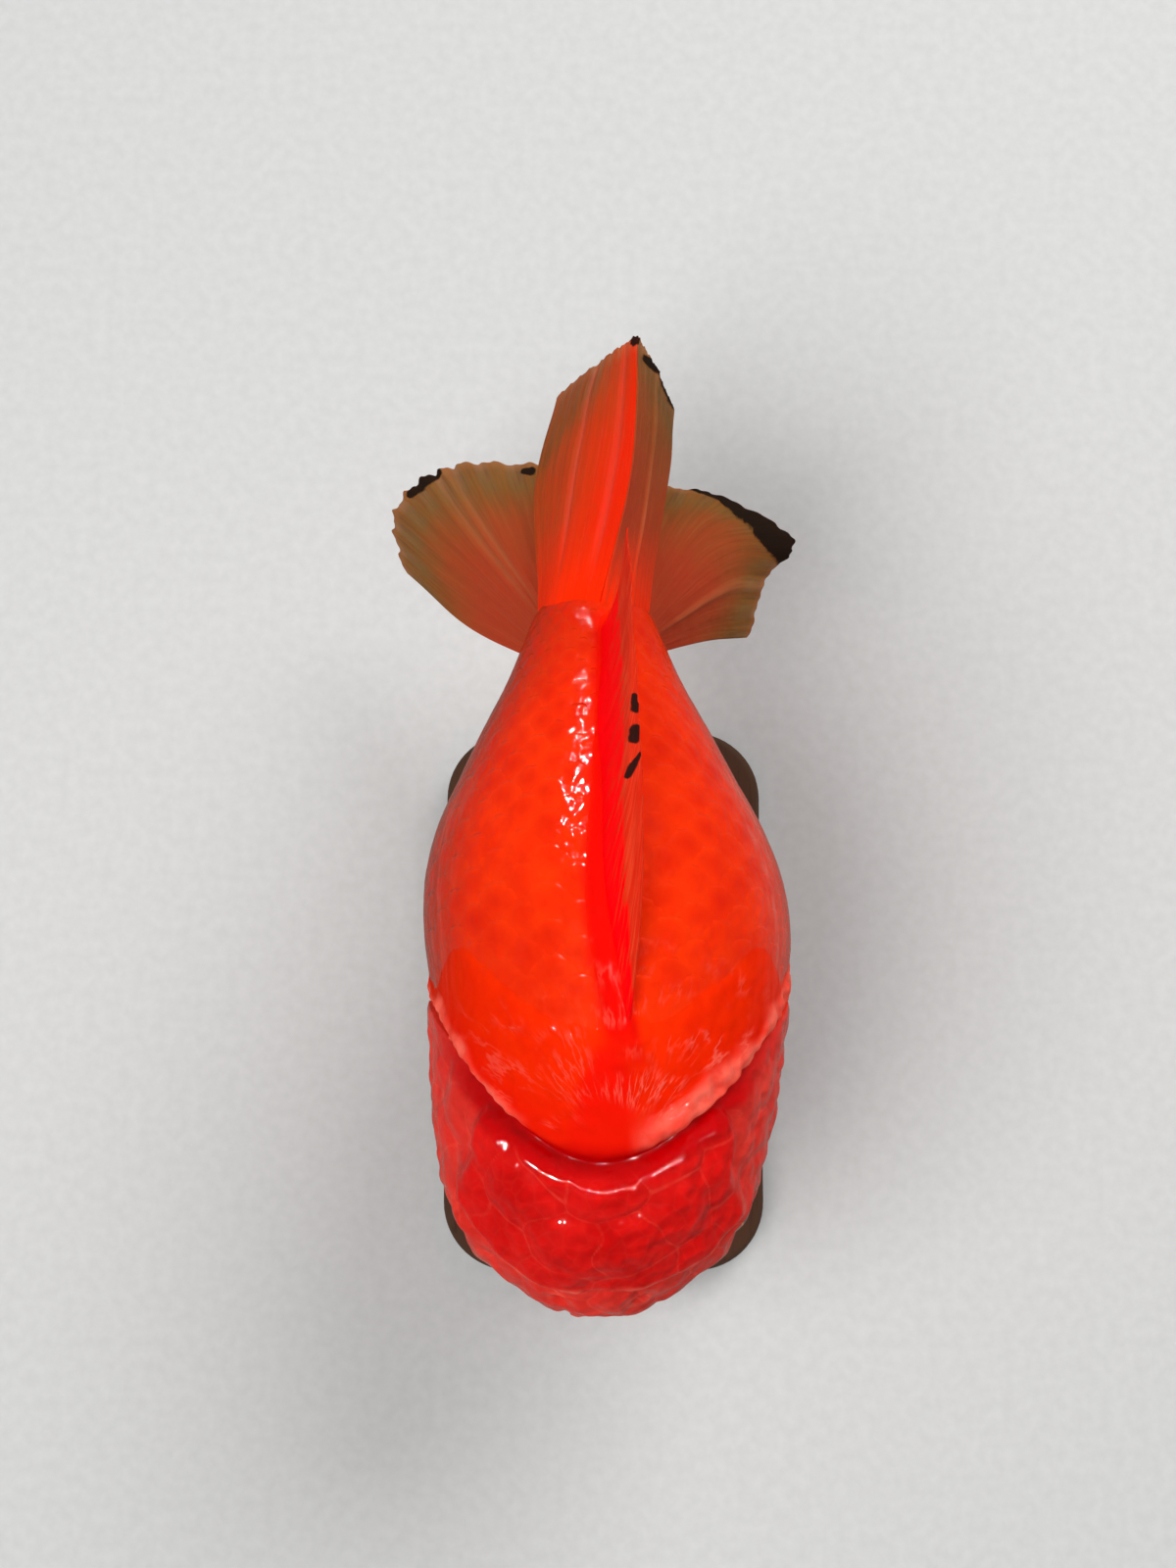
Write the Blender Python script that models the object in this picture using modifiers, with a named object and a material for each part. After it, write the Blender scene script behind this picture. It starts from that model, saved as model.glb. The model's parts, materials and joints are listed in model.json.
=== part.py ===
"""A red oranda goldfish, life size, held level by a plain display stand.

Sizes are in millimetres and become metres as each mesh is made. Across is the fish's left
side, along runs from the lips back to the tail, and up is measured from the fish's own axis.
The origin is the middle of the stand's underside.
"""

import math

import bmesh
import bpy
import numpy as np

MM = 0.001
GAP = 0.3
AXIS_HEIGHT = 68.0

# The stand
BASE_WIDTH, BASE_LENGTH, BASE_THICKNESS = 66.0, 112.0, 8.0
BASE_CORNER, BASE_EDGE = 14.0, 1.5
ROD_RADIUS, ROD_FOOT_RADIUS, ROD_FOOT_HEIGHT, ROD_FILLET = 2.5, 5.5, 2.0, 1.0
ROD_TOP = AXIS_HEIGHT - 20.0
ROD_PLACES = {"stand_rod_front": -13.0, "stand_rod_rear": 29.0}

# The closed mouth from its slit out over the lips, then the body back to the root of the tail:
# along, half width, top, bottom and level of the widest line
MOUTH_UP = -5.0
LIPS = [
    (-56.6, 0.0, MOUTH_UP, MOUTH_UP, MOUTH_UP),
    (-57.4, 2.7, MOUTH_UP + 0.4, MOUTH_UP - 0.4, MOUTH_UP),
    (-59.0, 3.6, MOUTH_UP + 1.3, MOUTH_UP - 1.3, MOUTH_UP),
    (-59.4, 4.7, MOUTH_UP + 2.6, MOUTH_UP - 2.5, MOUTH_UP),
    (-57.6, 5.8, MOUTH_UP + 3.8, MOUTH_UP - 3.6, MOUTH_UP),
]
BODY = [
    (-56.0, 8.6, 6.5, -13.0, -3.0),
    (-52.5, 15.4, 15.0, -18.5, -3.0),
    (-48.6, 20.4, 20.5, -22.5, -3.0),
    (-41.6, 24.6, 26.0, -27.0, -3.0),
    (-34.5, 27.7, 29.2, -30.5, -3.5),
    (-24.0, 30.3, 32.6, -34.0, -4.5),
    (-11.0, 31.7, 35.8, -36.8, -5.5),
    (0.0, 32.9, 37.6, -38.2, -6.0),
    (10.0, 33.8, 38.2, -38.6, -6.0),
    (19.0, 33.0, 37.5, -38.0, -5.5),
    (28.0, 30.2, 35.8, -35.0, -4.5),
    (37.0, 25.6, 32.6, -29.0, -2.5),
    (46.0, 20.8, 28.6, -21.0, 0.5),
    (54.0, 16.2, 24.6, -12.5, 4.0),
    (62.0, 12.6, 20.0, -5.5, 6.5),
    (70.0, 9.2, 16.5, -1.0, 8.0),
]
UPPER_ROUNDNESS, LOWER_ROUNDNESS = 2.0, 2.3

# The body's gentle bend: how far its middle lies to the fish's left, along the body
BEND = [(-59.0, -1.3), (-35.0, -0.8), (5.0, 0.5), (32.0, -1.3), (70.0, -2.4)]

# The head reaches far back at the gills, less at the throat and least at the nape
GILL_END, NAPE, THROAT = -3.0, -31.5, -19.0
EDGE_SHARPNESS = 2.2
HEAD_CAP = (0.0, -19.0, -2.0)

# Where the stalk of the tail starts, the level of its middle there, and how its end closes
STALK_START, STALK_LEVEL = 50.0, 4.0
STALK_END_SHARE, STALK_END_LENGTH, STALK_TIP_LENGTH = 0.62, 1.4, 2.0

# The hood: a cap of bulbs over the crown, and softer ones on the cheeks. Each pair of limits
# is where it begins and where it is full.
BULB_SPACING, BULB_HEIGHT, BULB_REACH = 7.0, 2.2, 0.72
CHEEK_SOFTNESS = 0.7
HOOD_BOTTOM, HOOD_FRONT, HOOD_END = (-26.0, -14.0), (-58.0, -52.5), (0.0, 4.0)

# The line that parts the crown from the face, which rises toward the nape
CROWN_FRONT, CROWN_LEVEL, CROWN_SLOPE, CROWN_RISE = -61.0, 14.0, 0.22, 1.3
CROWN_EDGE = (-1.0, 1.5)

# The body swells over the nape in a soft fold behind the hood
NAPE_FOLD, NAPE_FOLD_LENGTH = 1.1, 9.0
GILL_COVER_START, GILL_COVER_ACROSS = -26.0, 19.0

# The eyes are balls set deep, each with a bare ring and a fleshy rim round it. Distances for
# the ring and rim are from the ball.
EYE_PLACE, EYE_RADIUS = (20.7, -39.5, 2.0), 6.0
EYE_RING, EYE_RIM, EYE_RIM_OUT, EYE_RIM_WIDTH = (0.6, 4.0), 1.2, 1.7, 1.6
NOSTRIL_ALONG, NOSTRIL_TURN, NOSTRIL_RADIUS = -54.4, 0.95, 1.3
NOSTRIL_RING = (0.4, 2.6)

# How finely the solids are faceted
HEAD_RINGS, HEAD_SIDES = 26, 72
TORSO_RINGS, STALK_RINGS, BODY_SIDES = 16, 6, HEAD_SIDES // 2

# Fins: thickness of the membrane, rise of a ray above it, and thickness left at the margin
MEMBRANE, RAY_RISE, MARGIN_THICKNESS = 0.6, 0.35, 0.5

# The share of a fin's last row by which its membrane falls back between two rays
SCALLOP = 0.12

# Each fin's root, middle and margin, from its leading to its trailing edge. Those of a pair
# are given for the fish's left.
FINS = {
    "dorsal_fin": dict(
        rays=15,
        rows=6,
        root=[(2.0, -17, 32), (-2.8, 10, 35.4), (-1.6, 38, 30.5), (-0.8, 60, 19)],
        middle=[(4.2, -3, 39.6), (2.8, 22, 43), (3.0, 45, 37.4), (2.2, 67, 25.5)],
        margin=[(5.9, 14, 42.8), (5.8, 31, 42.2), (5.0, 50.5, 37.2), (3.7, 78.5, 27.5)],
    ),
    "pectoral_fin": dict(
        rays=9,
        rows=6,
        root=[(25.0, -5, -22), (22.5, -3, -26), (19.0, 0, -29)],
        middle=[(30.0, 8, -27), (28.5, 9, -32.5), (23.0, 9, -37)],
        margin=[(32.0, 23, -31), (31.0, 21, -39), (25.0, 17, -44)],
    ),
    "pelvic_fin": dict(
        rays=7,
        rows=6,
        root=[(9.0, 3, -33.5), (8.0, 6, -33.5), (7.0, 10, -33.5)],
        middle=[(14.5, 13, -44), (12.5, 17, -43.6), (9.0, 19, -42)],
        margin=[(17.5, 25, -51), (15.5, 28, -48.5), (10.0, 28, -45)],
    ),
    "anal_fin": dict(
        rays=6,
        rows=6,
        root=[(3.6, 47, -14), (3.6, 50, -11.5), (3.4, 54, -7.5)],
        middle=[(6.0, 57, -24), (6.0, 60, -20.5), (5.4, 62, -15.5)],
        margin=[(7.6, 68, -32), (8.0, 71, -26), (7.2, 69.5, -20)],
    ),
}
TAIL = {
    "tail_upper_left": dict(
        rays=9,
        rows=9,
        root=[(-0.3, 67, 15.8), (2.1, 67, 12.5), (4.6, 67, 8)],
        middle=[(4.8, 88.7, 24), (8.1, 92, 16), (11.6, 93.4, 6.5)],
        margin=[(6.2, 112.5, 28), (9.6, 108, 20), (12.4, 104.6, 10)],
    ),
    "tail_upper_right": dict(
        rays=9,
        rows=9,
        root=[(-1.3, 67, 15.8), (-5.0, 67, 12.8), (-9.0, 67, 8)],
        middle=[(3.8, 88.7, 24), (-5.0, 92.6, 17), (-12.6, 92, 4.6)],
        margin=[(5.2, 112.5, 28), (-1.4, 110, 21), (-8.8, 107, 10)],
    ),
    "tail_lower_left": dict(
        rays=9,
        rows=8,
        root=[(4.8, 67, 6.6), (5.8, 64.5, 3.6), (6.0, 60, 0.2)],
        middle=[(9.2, 82, 3.5), (17.1, 84.6, -4), (22.9, 79, -9), (18.3, 65.5, -12)],
        margin=[(12.0, 92.6, -2), (22.1, 93.3, -8), (36.8, 86.5, -15), (31.5, 79, -18), (28.5, 68.5, -22)],
    ),
    "tail_lower_right": dict(
        rays=9,
        rows=8,
        root=[(-9.6, 67, 6.6), (-10.4, 64, 3.6), (-10.2, 58.5, 0)],
        middle=[(-13.6, 83, 3.5), (-21.7, 85.5, -4), (-27.5, 81, -9), (-26, 68.4, -12)],
        margin=[(-14.2, 96, -2), (-26, 100.3, -9), (-35.5, 98.8, -14), (-41.8, 92, -18), (-39.5, 82, -21)],
    ),
}

SKIN = ((0.80, 0.045, 0.01), 0.3, 0.0)
HOOD = ((0.62, 0.012, 0.012), 0.25, 0.0)
FIN = ((0.78, 0.08, 0.015), 0.35, 0.0)
EYE = ((0.02, 0.015, 0.012), 0.1, 0.0)
WOOD = ((0.09, 0.045, 0.025), 0.45, 0.0)
STEEL = ((0.6, 0.6, 0.6), 0.3, 1.0)


def clear_scene():
    for obj in list(bpy.data.objects):
        bpy.data.objects.remove(obj)


def new_collection(name):
    collection = bpy.data.collections.new(name)
    bpy.context.scene.collection.children.link(collection)
    return collection


def material(name, finish):
    colour, roughness, metallic = finish
    made = bpy.data.materials.new(name)
    made.use_nodes = True
    shader = made.node_tree.nodes["Principled BSDF"]
    shader.inputs["Base Color"].default_value = (*colour, 1)
    shader.inputs["Roughness"].default_value = roughness
    shader.inputs["Metallic"].default_value = metallic
    return made


def to_model(points):
    return (np.asarray(points, float) + (0, 0, AXIS_HEIGHT)) * MM


def smooth(knots, values, at):
    """A cubic through the values, whose slope at each knot comes from its neighbours."""
    knots, values = np.asarray(knots, float), np.asarray(values, float)
    at = np.clip(np.asarray(at, float), knots[0], knots[-1])
    slope = np.gradient(values, knots, axis=0)
    i = np.clip(np.searchsorted(knots, at, side="right") - 1, 0, len(knots) - 2)
    lead = at.shape + (1,) * (values.ndim - 1)
    width = (knots[i + 1] - knots[i]).reshape(lead)
    t = (at - knots[i]).reshape(lead) / width
    rise = t * t * (3 - 2 * t)
    return (
        values[i] * (1 - rise)
        + values[i + 1] * rise
        + slope[i] * width * t * (1 - t) ** 2
        - slope[i + 1] * width * t * t * (1 - t)
    )


def step(x, low, high):
    """0 below low, 1 above high, and smooth between."""
    t = np.clip((x - low) / (high - low), 0, 1)
    return t * t * (3 - 2 * t)


# The body is a surface of two parameters: run, the way back from the mouth along the side,
# and turn, the angle round the body from the fish's left up over the back.
STATIONS = np.array(LIPS + BODY)
RUNS = np.concatenate([[0.0], np.cumsum(np.hypot(*np.diff(STATIONS[:, :2], axis=0).T))])
LIPS_RUN = RUNS[len(LIPS) - 1]
FINE_RUNS = np.linspace(LIPS_RUN, RUNS[-1], 400)
FINE_ALONG = smooth(RUNS, STATIONS, FINE_RUNS)[:, 0]


def run_at(along):
    return np.interp(along, FINE_ALONG, FINE_RUNS)


def bend_at(along):
    knots, shift = np.array(BEND).T
    return smooth(knots, shift, along)


def body_point(run, turn):
    along, width, top, bottom, level = np.moveaxis(smooth(RUNS, STATIONS, run), -1, 0)
    across, up = np.cos(turn), np.sin(turn)
    power = 2 / np.where(up >= 0, UPPER_ROUNDNESS, LOWER_ROUNDNESS)
    reach = np.where(up >= 0, top - level, level - bottom)
    x = width * np.sign(across) * np.abs(across) ** power + bend_at(along)
    z = level + reach * np.sign(up) * np.abs(up) ** power
    return np.stack([x, along, z], axis=-1)


def head_edge(turn):
    """The run at which the head ends, at each turn."""
    up = np.sin(turn)
    forward = np.where(up >= 0, GILL_END - NAPE, GILL_END - THROAT)
    return run_at(GILL_END - forward * np.abs(up) ** EDGE_SHARPNESS)


def normals(rings):
    """Outward normals of a grid of rings, which wraps round along its second axis."""
    along = np.gradient(rings, axis=0)
    wrapped = np.concatenate([rings[:, -1:], rings, rings[:, :1]], axis=1)
    around = (wrapped[:, 2:] - wrapped[:, :-2]) / 2
    out = np.cross(along, around)
    return out / np.maximum(np.linalg.norm(out, axis=-1, keepdims=True), 1e-9)


def spread_points(points, spacing):
    """Picks points, each the farthest from those before it, until none is a spacing away."""
    chosen = [0]
    distance = np.linalg.norm(points - points[0], axis=-1)
    while distance.max() > spacing:
        chosen.append(int(distance.argmax()))
        distance = np.minimum(distance, np.linalg.norm(points - points[chosen[-1]], axis=-1))
    return points[chosen]


def bulbs(points, centres):
    """Height, 0 to 1, of round bulbs over the centres, with creases half way between them."""
    near = np.full(points.shape[:-1], np.inf)
    for centre in centres:
        near = np.minimum(near, np.linalg.norm(points - centre, axis=-1))
    return np.clip(1 - (near / (BULB_REACH * BULB_SPACING)) ** 2, 0, 1)


def distance_beside(points, place):
    """Distance to a place given for the fish's left, or to its like on the right."""
    x, y, z = np.moveaxis(points, -1, 0)
    folded = np.stack([np.abs(x - bend_at(y)), y, z], axis=-1)
    return np.linalg.norm(folded - place, axis=-1)


def nostril_place():
    place = body_point(run_at(NOSTRIL_ALONG), NOSTRIL_TURN)
    return place - (bend_at(NOSTRIL_ALONG), 0, 0)


def hood_relief(points, edge_distance):
    """How far the hood stands out of the plain head."""
    y, z = points[..., 1], points[..., 2]
    crown = step(z - CROWN_LEVEL - CROWN_SLOPE * (y - CROWN_FRONT), *CROWN_EDGE)
    cover = step(z, *HOOD_BOTTOM) * step(y, *HOOD_FRONT)
    centres = spread_points(points[cover > 0.4], BULB_SPACING)
    lumps = BULB_HEIGHT * bulbs(points, centres) * (CHEEK_SOFTNESS + (1 - CHEEK_SOFTNESS) * crown)

    from_eye = distance_beside(points, EYE_PLACE) - EYE_RADIUS
    rim = EYE_RIM * np.exp(-(((from_eye - EYE_RIM_OUT) / EYE_RIM_WIDTH) ** 2))
    from_nostril = distance_beside(points, nostril_place()) - NOSTRIL_RADIUS
    bare = step(from_eye, *EYE_RING) * step(from_nostril, *NOSTRIL_RING)
    return step(edge_distance, *HOOD_END) * (cover * bare * (lumps + CROWN_RISE * crown) + rim)


def head_rings():
    turn = np.linspace(0, 2 * math.pi, HEAD_SIDES, endpoint=False)[None]
    edge = head_edge(turn)
    lips = np.broadcast_to(RUNS[1 : len(LIPS), None], (len(LIPS) - 1, HEAD_SIDES))
    part = np.linspace(0, 1, HEAD_RINGS)[1:, None]
    run = np.concatenate([lips, LIPS_RUN + (edge - LIPS_RUN) * part])
    rings = body_point(run, np.broadcast_to(turn, run.shape))
    rings += normals(rings) * hood_relief(rings, edge - run)[..., None]
    rings[-1, 1::2] = (rings[-1, ::2] + np.roll(rings[-1, ::2], -1, axis=0)) / 2
    return rings


def body_rings(start, end, rings, outward=0.0):
    """Rings of the body between two runs, each of which may change with the turn."""
    turn = np.linspace(0, 2 * math.pi, BODY_SIDES, endpoint=False)[None]
    part = np.linspace(0, 1, rings)[:, None]
    run = start(turn) + (end(turn) - start(turn)) * part
    points = body_point(run, np.broadcast_to(turn, run.shape))
    behind_head = run - head_edge(turn)
    nape = step(np.sin(turn), 0.25, 0.7)
    fold = NAPE_FOLD * nape * step(behind_head, 0, 3) * np.exp(-((behind_head / NAPE_FOLD_LENGTH) ** 2))
    return points + normals(points) * (fold + outward)[..., None]


def mesh_object(name, verts, faces, collection, finish=None):
    mesh = bpy.data.meshes.new(name)
    mesh.from_pydata([tuple(v) for v in verts], [], faces)
    work = bmesh.new()
    work.from_mesh(mesh)
    bmesh.ops.recalc_face_normals(work, faces=work.faces)
    work.to_mesh(mesh)
    work.free()
    mesh.materials.append(finish)
    obj = bpy.data.objects.new(name, mesh)
    collection.objects.link(obj)
    return obj


def loft(name, rings, front, back, collection, finish=None):
    """A closed skin over rings of points, closed at each end by a fan to one point."""
    count, sides = rings.shape[:2]
    faces = []
    for i in range(count - 1):
        for j in range(sides):
            k = (j + 1) % sides
            a, b, c, d = i * sides + j, i * sides + k, (i + 1) * sides + k, (i + 1) * sides + j
            faces += [(a, b, c), (a, c, d)]
    last = (count - 1) * sides
    for j in range(sides):
        k = (j + 1) % sides
        faces.append((k, j, count * sides))
        faces.append((last + j, last + k, count * sides + 1))
    verts = to_model(np.concatenate([rings.reshape(-1, 3), [front, back]]))
    return mesh_object(name, verts, faces, collection, finish)


def apply_modifiers(obj):
    """Applies the object's modifiers and keeps its largest closed surface."""
    graph = bpy.context.evaluated_depsgraph_get()
    solid = bpy.data.meshes.new_from_object(obj.evaluated_get(graph))
    obj.modifiers.clear()
    obj.data = solid
    work = bmesh.new()
    work.from_mesh(solid)
    unseen, islands = set(work.faces), []
    while unseen:
        front = [unseen.pop()]
        island = list(front)
        while front:
            near = {f for edge in front.pop().edges for f in edge.link_faces} & unseen
            unseen -= near
            front.extend(near)
            island.extend(near)
        islands.append(island)
    islands.sort(key=len)
    for island in islands[:-1]:
        bmesh.ops.delete(work, geom=island, context="FACES")
    work.to_mesh(solid)
    work.free()


def boolean(obj, others, operation="DIFFERENCE"):
    for other in others:
        change = obj.modifiers.new(other.name, "BOOLEAN")
        change.operation = operation
        change.solver = "EXACT"
        change.object = other
    apply_modifiers(obj)


def into(obj, collection, finish=None):
    """Moves a new object to its collection."""
    for other in list(obj.users_collection):
        other.objects.unlink(obj)
    collection.objects.link(obj)
    if finish:
        obj.data.materials.append(finish)
    return obj


def cutter(obj):
    obj.hide_render = True
    obj.display_type = "WIRE"
    return obj


def box(name, low, high, collection):
    low, high = to_model(low), to_model(high)
    bpy.ops.mesh.primitive_cube_add(size=1, location=(low + high) / 2)
    made = bpy.context.object
    made.name = name
    made.scale = high - low
    bpy.ops.object.transform_apply(location=False, rotation=False, scale=True)
    return into(made, collection)


def ball(name, place, radius, collection, finish=None, segments=16, rings=12):
    """A sphere about an axis that points out to the side."""
    bpy.ops.mesh.primitive_uv_sphere_add(
        segments=segments,
        ring_count=rings,
        radius=radius * MM,
        location=to_model(place),
        rotation=(0, math.pi / 2, 0),
    )
    made = bpy.context.object
    made.name = name
    return into(made, collection, finish)


def copy_of(obj, name, collection):
    made = obj.copy()
    made.data = obj.data.copy()
    made.name = name
    collection.objects.link(made)
    return made


def beside(place, side):
    """A place given for the fish's left, on either side of the gently bent body."""
    x, y, z = place
    return (side * x + float(bend_at(y)), y, z)


def crown_block(name, lowered, collection):
    """A block over the sloping line that parts the crown of the hood from the face."""
    made = cutter(box(name, (-50, -80, 0), (50, 20, 60), collection))
    made.location = to_model((0, CROWN_FRONT, CROWN_LEVEL - lowered))
    made.rotation_euler.x = math.atan(CROWN_SLOPE)
    for vertex in made.data.vertices:
        vertex.co.z += 30 * MM
        vertex.co.y += 30 * MM
    return made


def make_head(parts, cutters, finishes):
    """The head, modelled whole, then parted into the face, crown and gill covers."""
    mouth = (float(bend_at(LIPS[0][0])), LIPS[0][0], MOUTH_UP)
    head = loft("head", head_rings(), mouth, HEAD_CAP, parts, finishes["hood"])
    pits = []
    for side, word in ((1, "left"), (-1, "right")):
        eye_place = beside(EYE_PLACE, side)
        ball(f"eye_{word}", eye_place, EYE_RADIUS, parts, finishes["eye"])
        pits.append(cutter(ball(f"socket_{word}", eye_place, EYE_RADIUS + GAP, cutters)))
        nostril = beside(nostril_place(), side)
        pits.append(cutter(ball(f"nostril_{word}", nostril, NOSTRIL_RADIUS, cutters, None, 10, 6)))
    boolean(head, pits)

    crown = copy_of(head, "hood_crown", parts)
    boolean(crown, [crown_block("crown_block", 0.0, cutters)], "INTERSECT")
    boolean(head, [crown_block("crown_clearance", GAP, cutters)])
    for side, word in ((1, "left"), (-1, "right")):
        inner, outer = sorted((side * GILL_COVER_ACROSS, side * 60.0))
        block = cutter(box(f"cover_{word}", (inner, GILL_COVER_START, -60), (outer, 30, 60), cutters))
        cover = copy_of(head, f"gill_cover_{word}", parts)
        boolean(cover, [block], "INTERSECT")
        low = (inner - GAP, GILL_COVER_START - GAP, -60)
        high = (outer + GAP, 30, 60)
        boolean(head, [cutter(box(f"cover_clearance_{word}", low, high, cutters))])


def make_body(parts, finishes):
    """The torso and the stalk of the tail."""
    parting = float(run_at(STALK_START))
    bend = float(bend_at(STALK_START))

    torso = body_rings(head_edge, lambda turn: np.full(turn.shape, parting), TORSO_RINGS)
    torso[0, :, 1] += GAP
    torso[-1, :, 1] -= GAP
    front = (HEAD_CAP[0], HEAD_CAP[1] + GAP, HEAD_CAP[2])
    back = (bend, STALK_START - GAP, STALK_LEVEL)
    loft("torso", torso, front, back, parts, finishes["skin"])

    front = (bend, STALK_START, STALK_LEVEL)
    loft("tail_stalk", stalk_rings(), front, stalk_tip(), parts, finishes["skin"])


def stalk_rings(outward=0.0):
    parting = float(run_at(STALK_START))
    end = RUNS[-1]
    rings = body_rings(
        lambda turn: np.full(turn.shape, parting),
        lambda turn: np.full(turn.shape, end),
        STALK_RINGS,
        outward,
    )
    centre = np.array([float(bend_at(BODY[-1][0])), BODY[-1][0], BODY[-1][4]])
    share = (STALK_END_SHARE, 1, STALK_END_SHARE)
    closing = (rings[-1] - centre) * share + centre + (0, STALK_END_LENGTH, 0)
    return np.concatenate([rings, closing[None]])


def stalk_tip(outward=0.0):
    along, level = BODY[-1][0], BODY[-1][4]
    return (float(bend_at(along)), along + STALK_TIP_LENGTH + outward, level)


def make_clearance(cutters):
    """The whole fish without fins, a gap larger all round, which the fins and rods are cut by."""
    start = LIPS_RUN
    parting = float(run_at(STALK_START))
    rings = body_rings(
        lambda turn: np.full(turn.shape, start),
        lambda turn: np.full(turn.shape, parting),
        HEAD_RINGS + TORSO_RINGS,
        GAP,
    )
    rings = np.concatenate([rings[:-1], stalk_rings(GAP)])
    mouth = (float(bend_at(LIPS[3][0])), LIPS[3][0] - GAP, MOUTH_UP)
    return cutter(loft("body_clearance", rings, mouth, stalk_tip(GAP), cutters))


def fin_surface(shape, side):
    """A fin's middle sheet on a grid, rows out along the rays and columns across them."""
    columns = 2 * shape["rays"] + 1
    u = np.linspace(0, 1, columns)
    guides = []
    for name in ("root", "middle", "margin"):
        line = np.array(shape[name], float)
        guides.append(smooth(np.linspace(0, 1, len(line)), line, u))
    v = np.linspace(0, 1, shape["rows"] + 1)
    sheet = smooth([0, 0.5, 1], np.array(guides), v)
    sheet[-1, ::2] += SCALLOP * (sheet[-2, ::2] - sheet[-1, ::2])
    if side:
        sheet[..., 0] = side * sheet[..., 0] + bend_at(np.minimum(sheet[..., 1], BODY[-1][0]))
    return sheet


def make_fin(name, shape, side, parts, finish, clearance):
    """A thin closed solid, whose rays are ridges in both of its faces."""
    sheet = fin_surface(shape, side)
    rows, columns = sheet.shape[:2]
    across = np.gradient(sheet, axis=1)
    out = np.gradient(sheet, axis=0)
    normal = np.cross(across, out)
    normal /= np.linalg.norm(normal, axis=-1, keepdims=True)
    v = np.linspace(0, 1, rows)[:, None]
    on_ray = np.arange(columns)[None] % 2
    thick = (MEMBRANE + 2 * RAY_RISE * on_ray) * (1 - v) + MARGIN_THICKNESS * v
    thick = np.maximum(thick, MARGIN_THICKNESS)[..., None]
    faces = []
    layer = rows * columns
    for i in range(rows - 1):
        for j in range(columns - 1):
            a, b = i * columns + j, i * columns + j + 1
            c, d = b + columns, a + columns
            split = [(a, b, c), (a, c, d)] if j % 2 else [(a, b, d), (b, c, d)]
            faces += split
            faces += [tuple(layer + k for k in reversed(face)) for face in split]
    rim = [(0, j) for j in range(columns)]
    rim += [(i, columns - 1) for i in range(1, rows)]
    rim += [(rows - 1, j) for j in range(columns - 2, -1, -1)]
    rim += [(i, 0) for i in range(rows - 2, 0, -1)]
    rim = [i * columns + j for i, j in rim]
    for a, b in zip(rim, rim[1:] + rim[:1]):
        faces += [(a, b, layer + b), (a, layer + b, layer + a)]
    verts = np.concatenate([(sheet + normal * thick / 2), (sheet - normal * thick / 2)])
    fin = mesh_object(name, to_model(verts.reshape(-1, 3)), faces, parts, finish)
    boolean(fin, [clearance])


def make_stand(parts, finishes, clearance):
    """A flat base with rounded corners, and two rods up to the belly."""
    work = bmesh.new()
    bmesh.ops.create_cube(work, size=1)
    size = np.array([BASE_WIDTH, BASE_LENGTH, BASE_THICKNESS]) * MM
    for vertex in work.verts:
        vertex.co.x *= size[0]
        vertex.co.y *= size[1]
        vertex.co.z = (vertex.co.z + 0.5) * size[2]
    upright = [e for e in work.edges if abs(e.verts[0].co.z - e.verts[1].co.z) > size[2] / 2]
    rounding = dict(profile=0.5, affect="EDGES")
    bmesh.ops.bevel(work, geom=upright, offset=BASE_CORNER * MM, segments=6, **rounding)
    brim = [e for e in work.edges if min(v.co.z for v in e.verts) > 0.99 * size[2]]
    bmesh.ops.bevel(work, geom=brim, offset=BASE_EDGE * MM, segments=3, **rounding)
    mesh = bpy.data.meshes.new("stand_base")
    work.to_mesh(mesh)
    work.free()
    mesh.materials.append(finishes["wood"])
    parts.objects.link(bpy.data.objects.new("stand_base", mesh))

    foot = BASE_THICKNESS + GAP
    for name, along in ROD_PLACES.items():
        profile = [
            (0, ROD_TOP),
            (ROD_RADIUS, ROD_TOP),
            (ROD_RADIUS, foot + ROD_FOOT_HEIGHT + ROD_FILLET),
            (ROD_RADIUS + ROD_FILLET, foot + ROD_FOOT_HEIGHT),
            (ROD_FOOT_RADIUS, foot + ROD_FOOT_HEIGHT / 2),
            (ROD_FOOT_RADIUS, foot),
            (0, foot),
        ]
        place = np.array([float(bend_at(along)), along, 0]) * MM
        outline = bpy.data.meshes.new(name)
        points = [(x * MM, 0, z * MM) for x, z in profile]
        outline.from_pydata(points, [(i, i + 1) for i in range(len(points) - 1)], [])
        rod = bpy.data.objects.new(name, outline)
        parts.objects.link(rod)
        outline.materials.append(finishes["steel"])
        turned = rod.modifiers.new("turned", "SCREW")
        turned.steps = turned.render_steps = 20
        turned.use_merge_vertices = True
        turned.merge_threshold = 0.0001
        rod.location = place
        bpy.context.view_layer.update()
        boolean(rod, [clearance])


def main():
    clear_scene()
    parts = new_collection("oranda_goldfish")
    cutters = new_collection("cutters")
    finishes = {
        "skin": material("skin", SKIN),
        "hood": material("hood", HOOD),
        "fin": material("fin", FIN),
        "eye": material("eye", EYE),
        "wood": material("wood", WOOD),
        "steel": material("steel", STEEL),
    }
    make_head(parts, cutters, finishes)
    make_body(parts, finishes)
    clearance = make_clearance(cutters)
    for name, shape in FINS.items():
        if name == "dorsal_fin":
            make_fin(name, shape, 0, parts, finishes["fin"], clearance)
            continue
        for side, word in ((1, "left"), (-1, "right")):
            make_fin(f"{name}_{word}", shape, side, parts, finishes["fin"], clearance)
    for name, shape in TAIL.items():
        make_fin(name, shape, 0, parts, finishes["fin"], clearance)
    make_stand(parts, finishes, clearance)


main()
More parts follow.
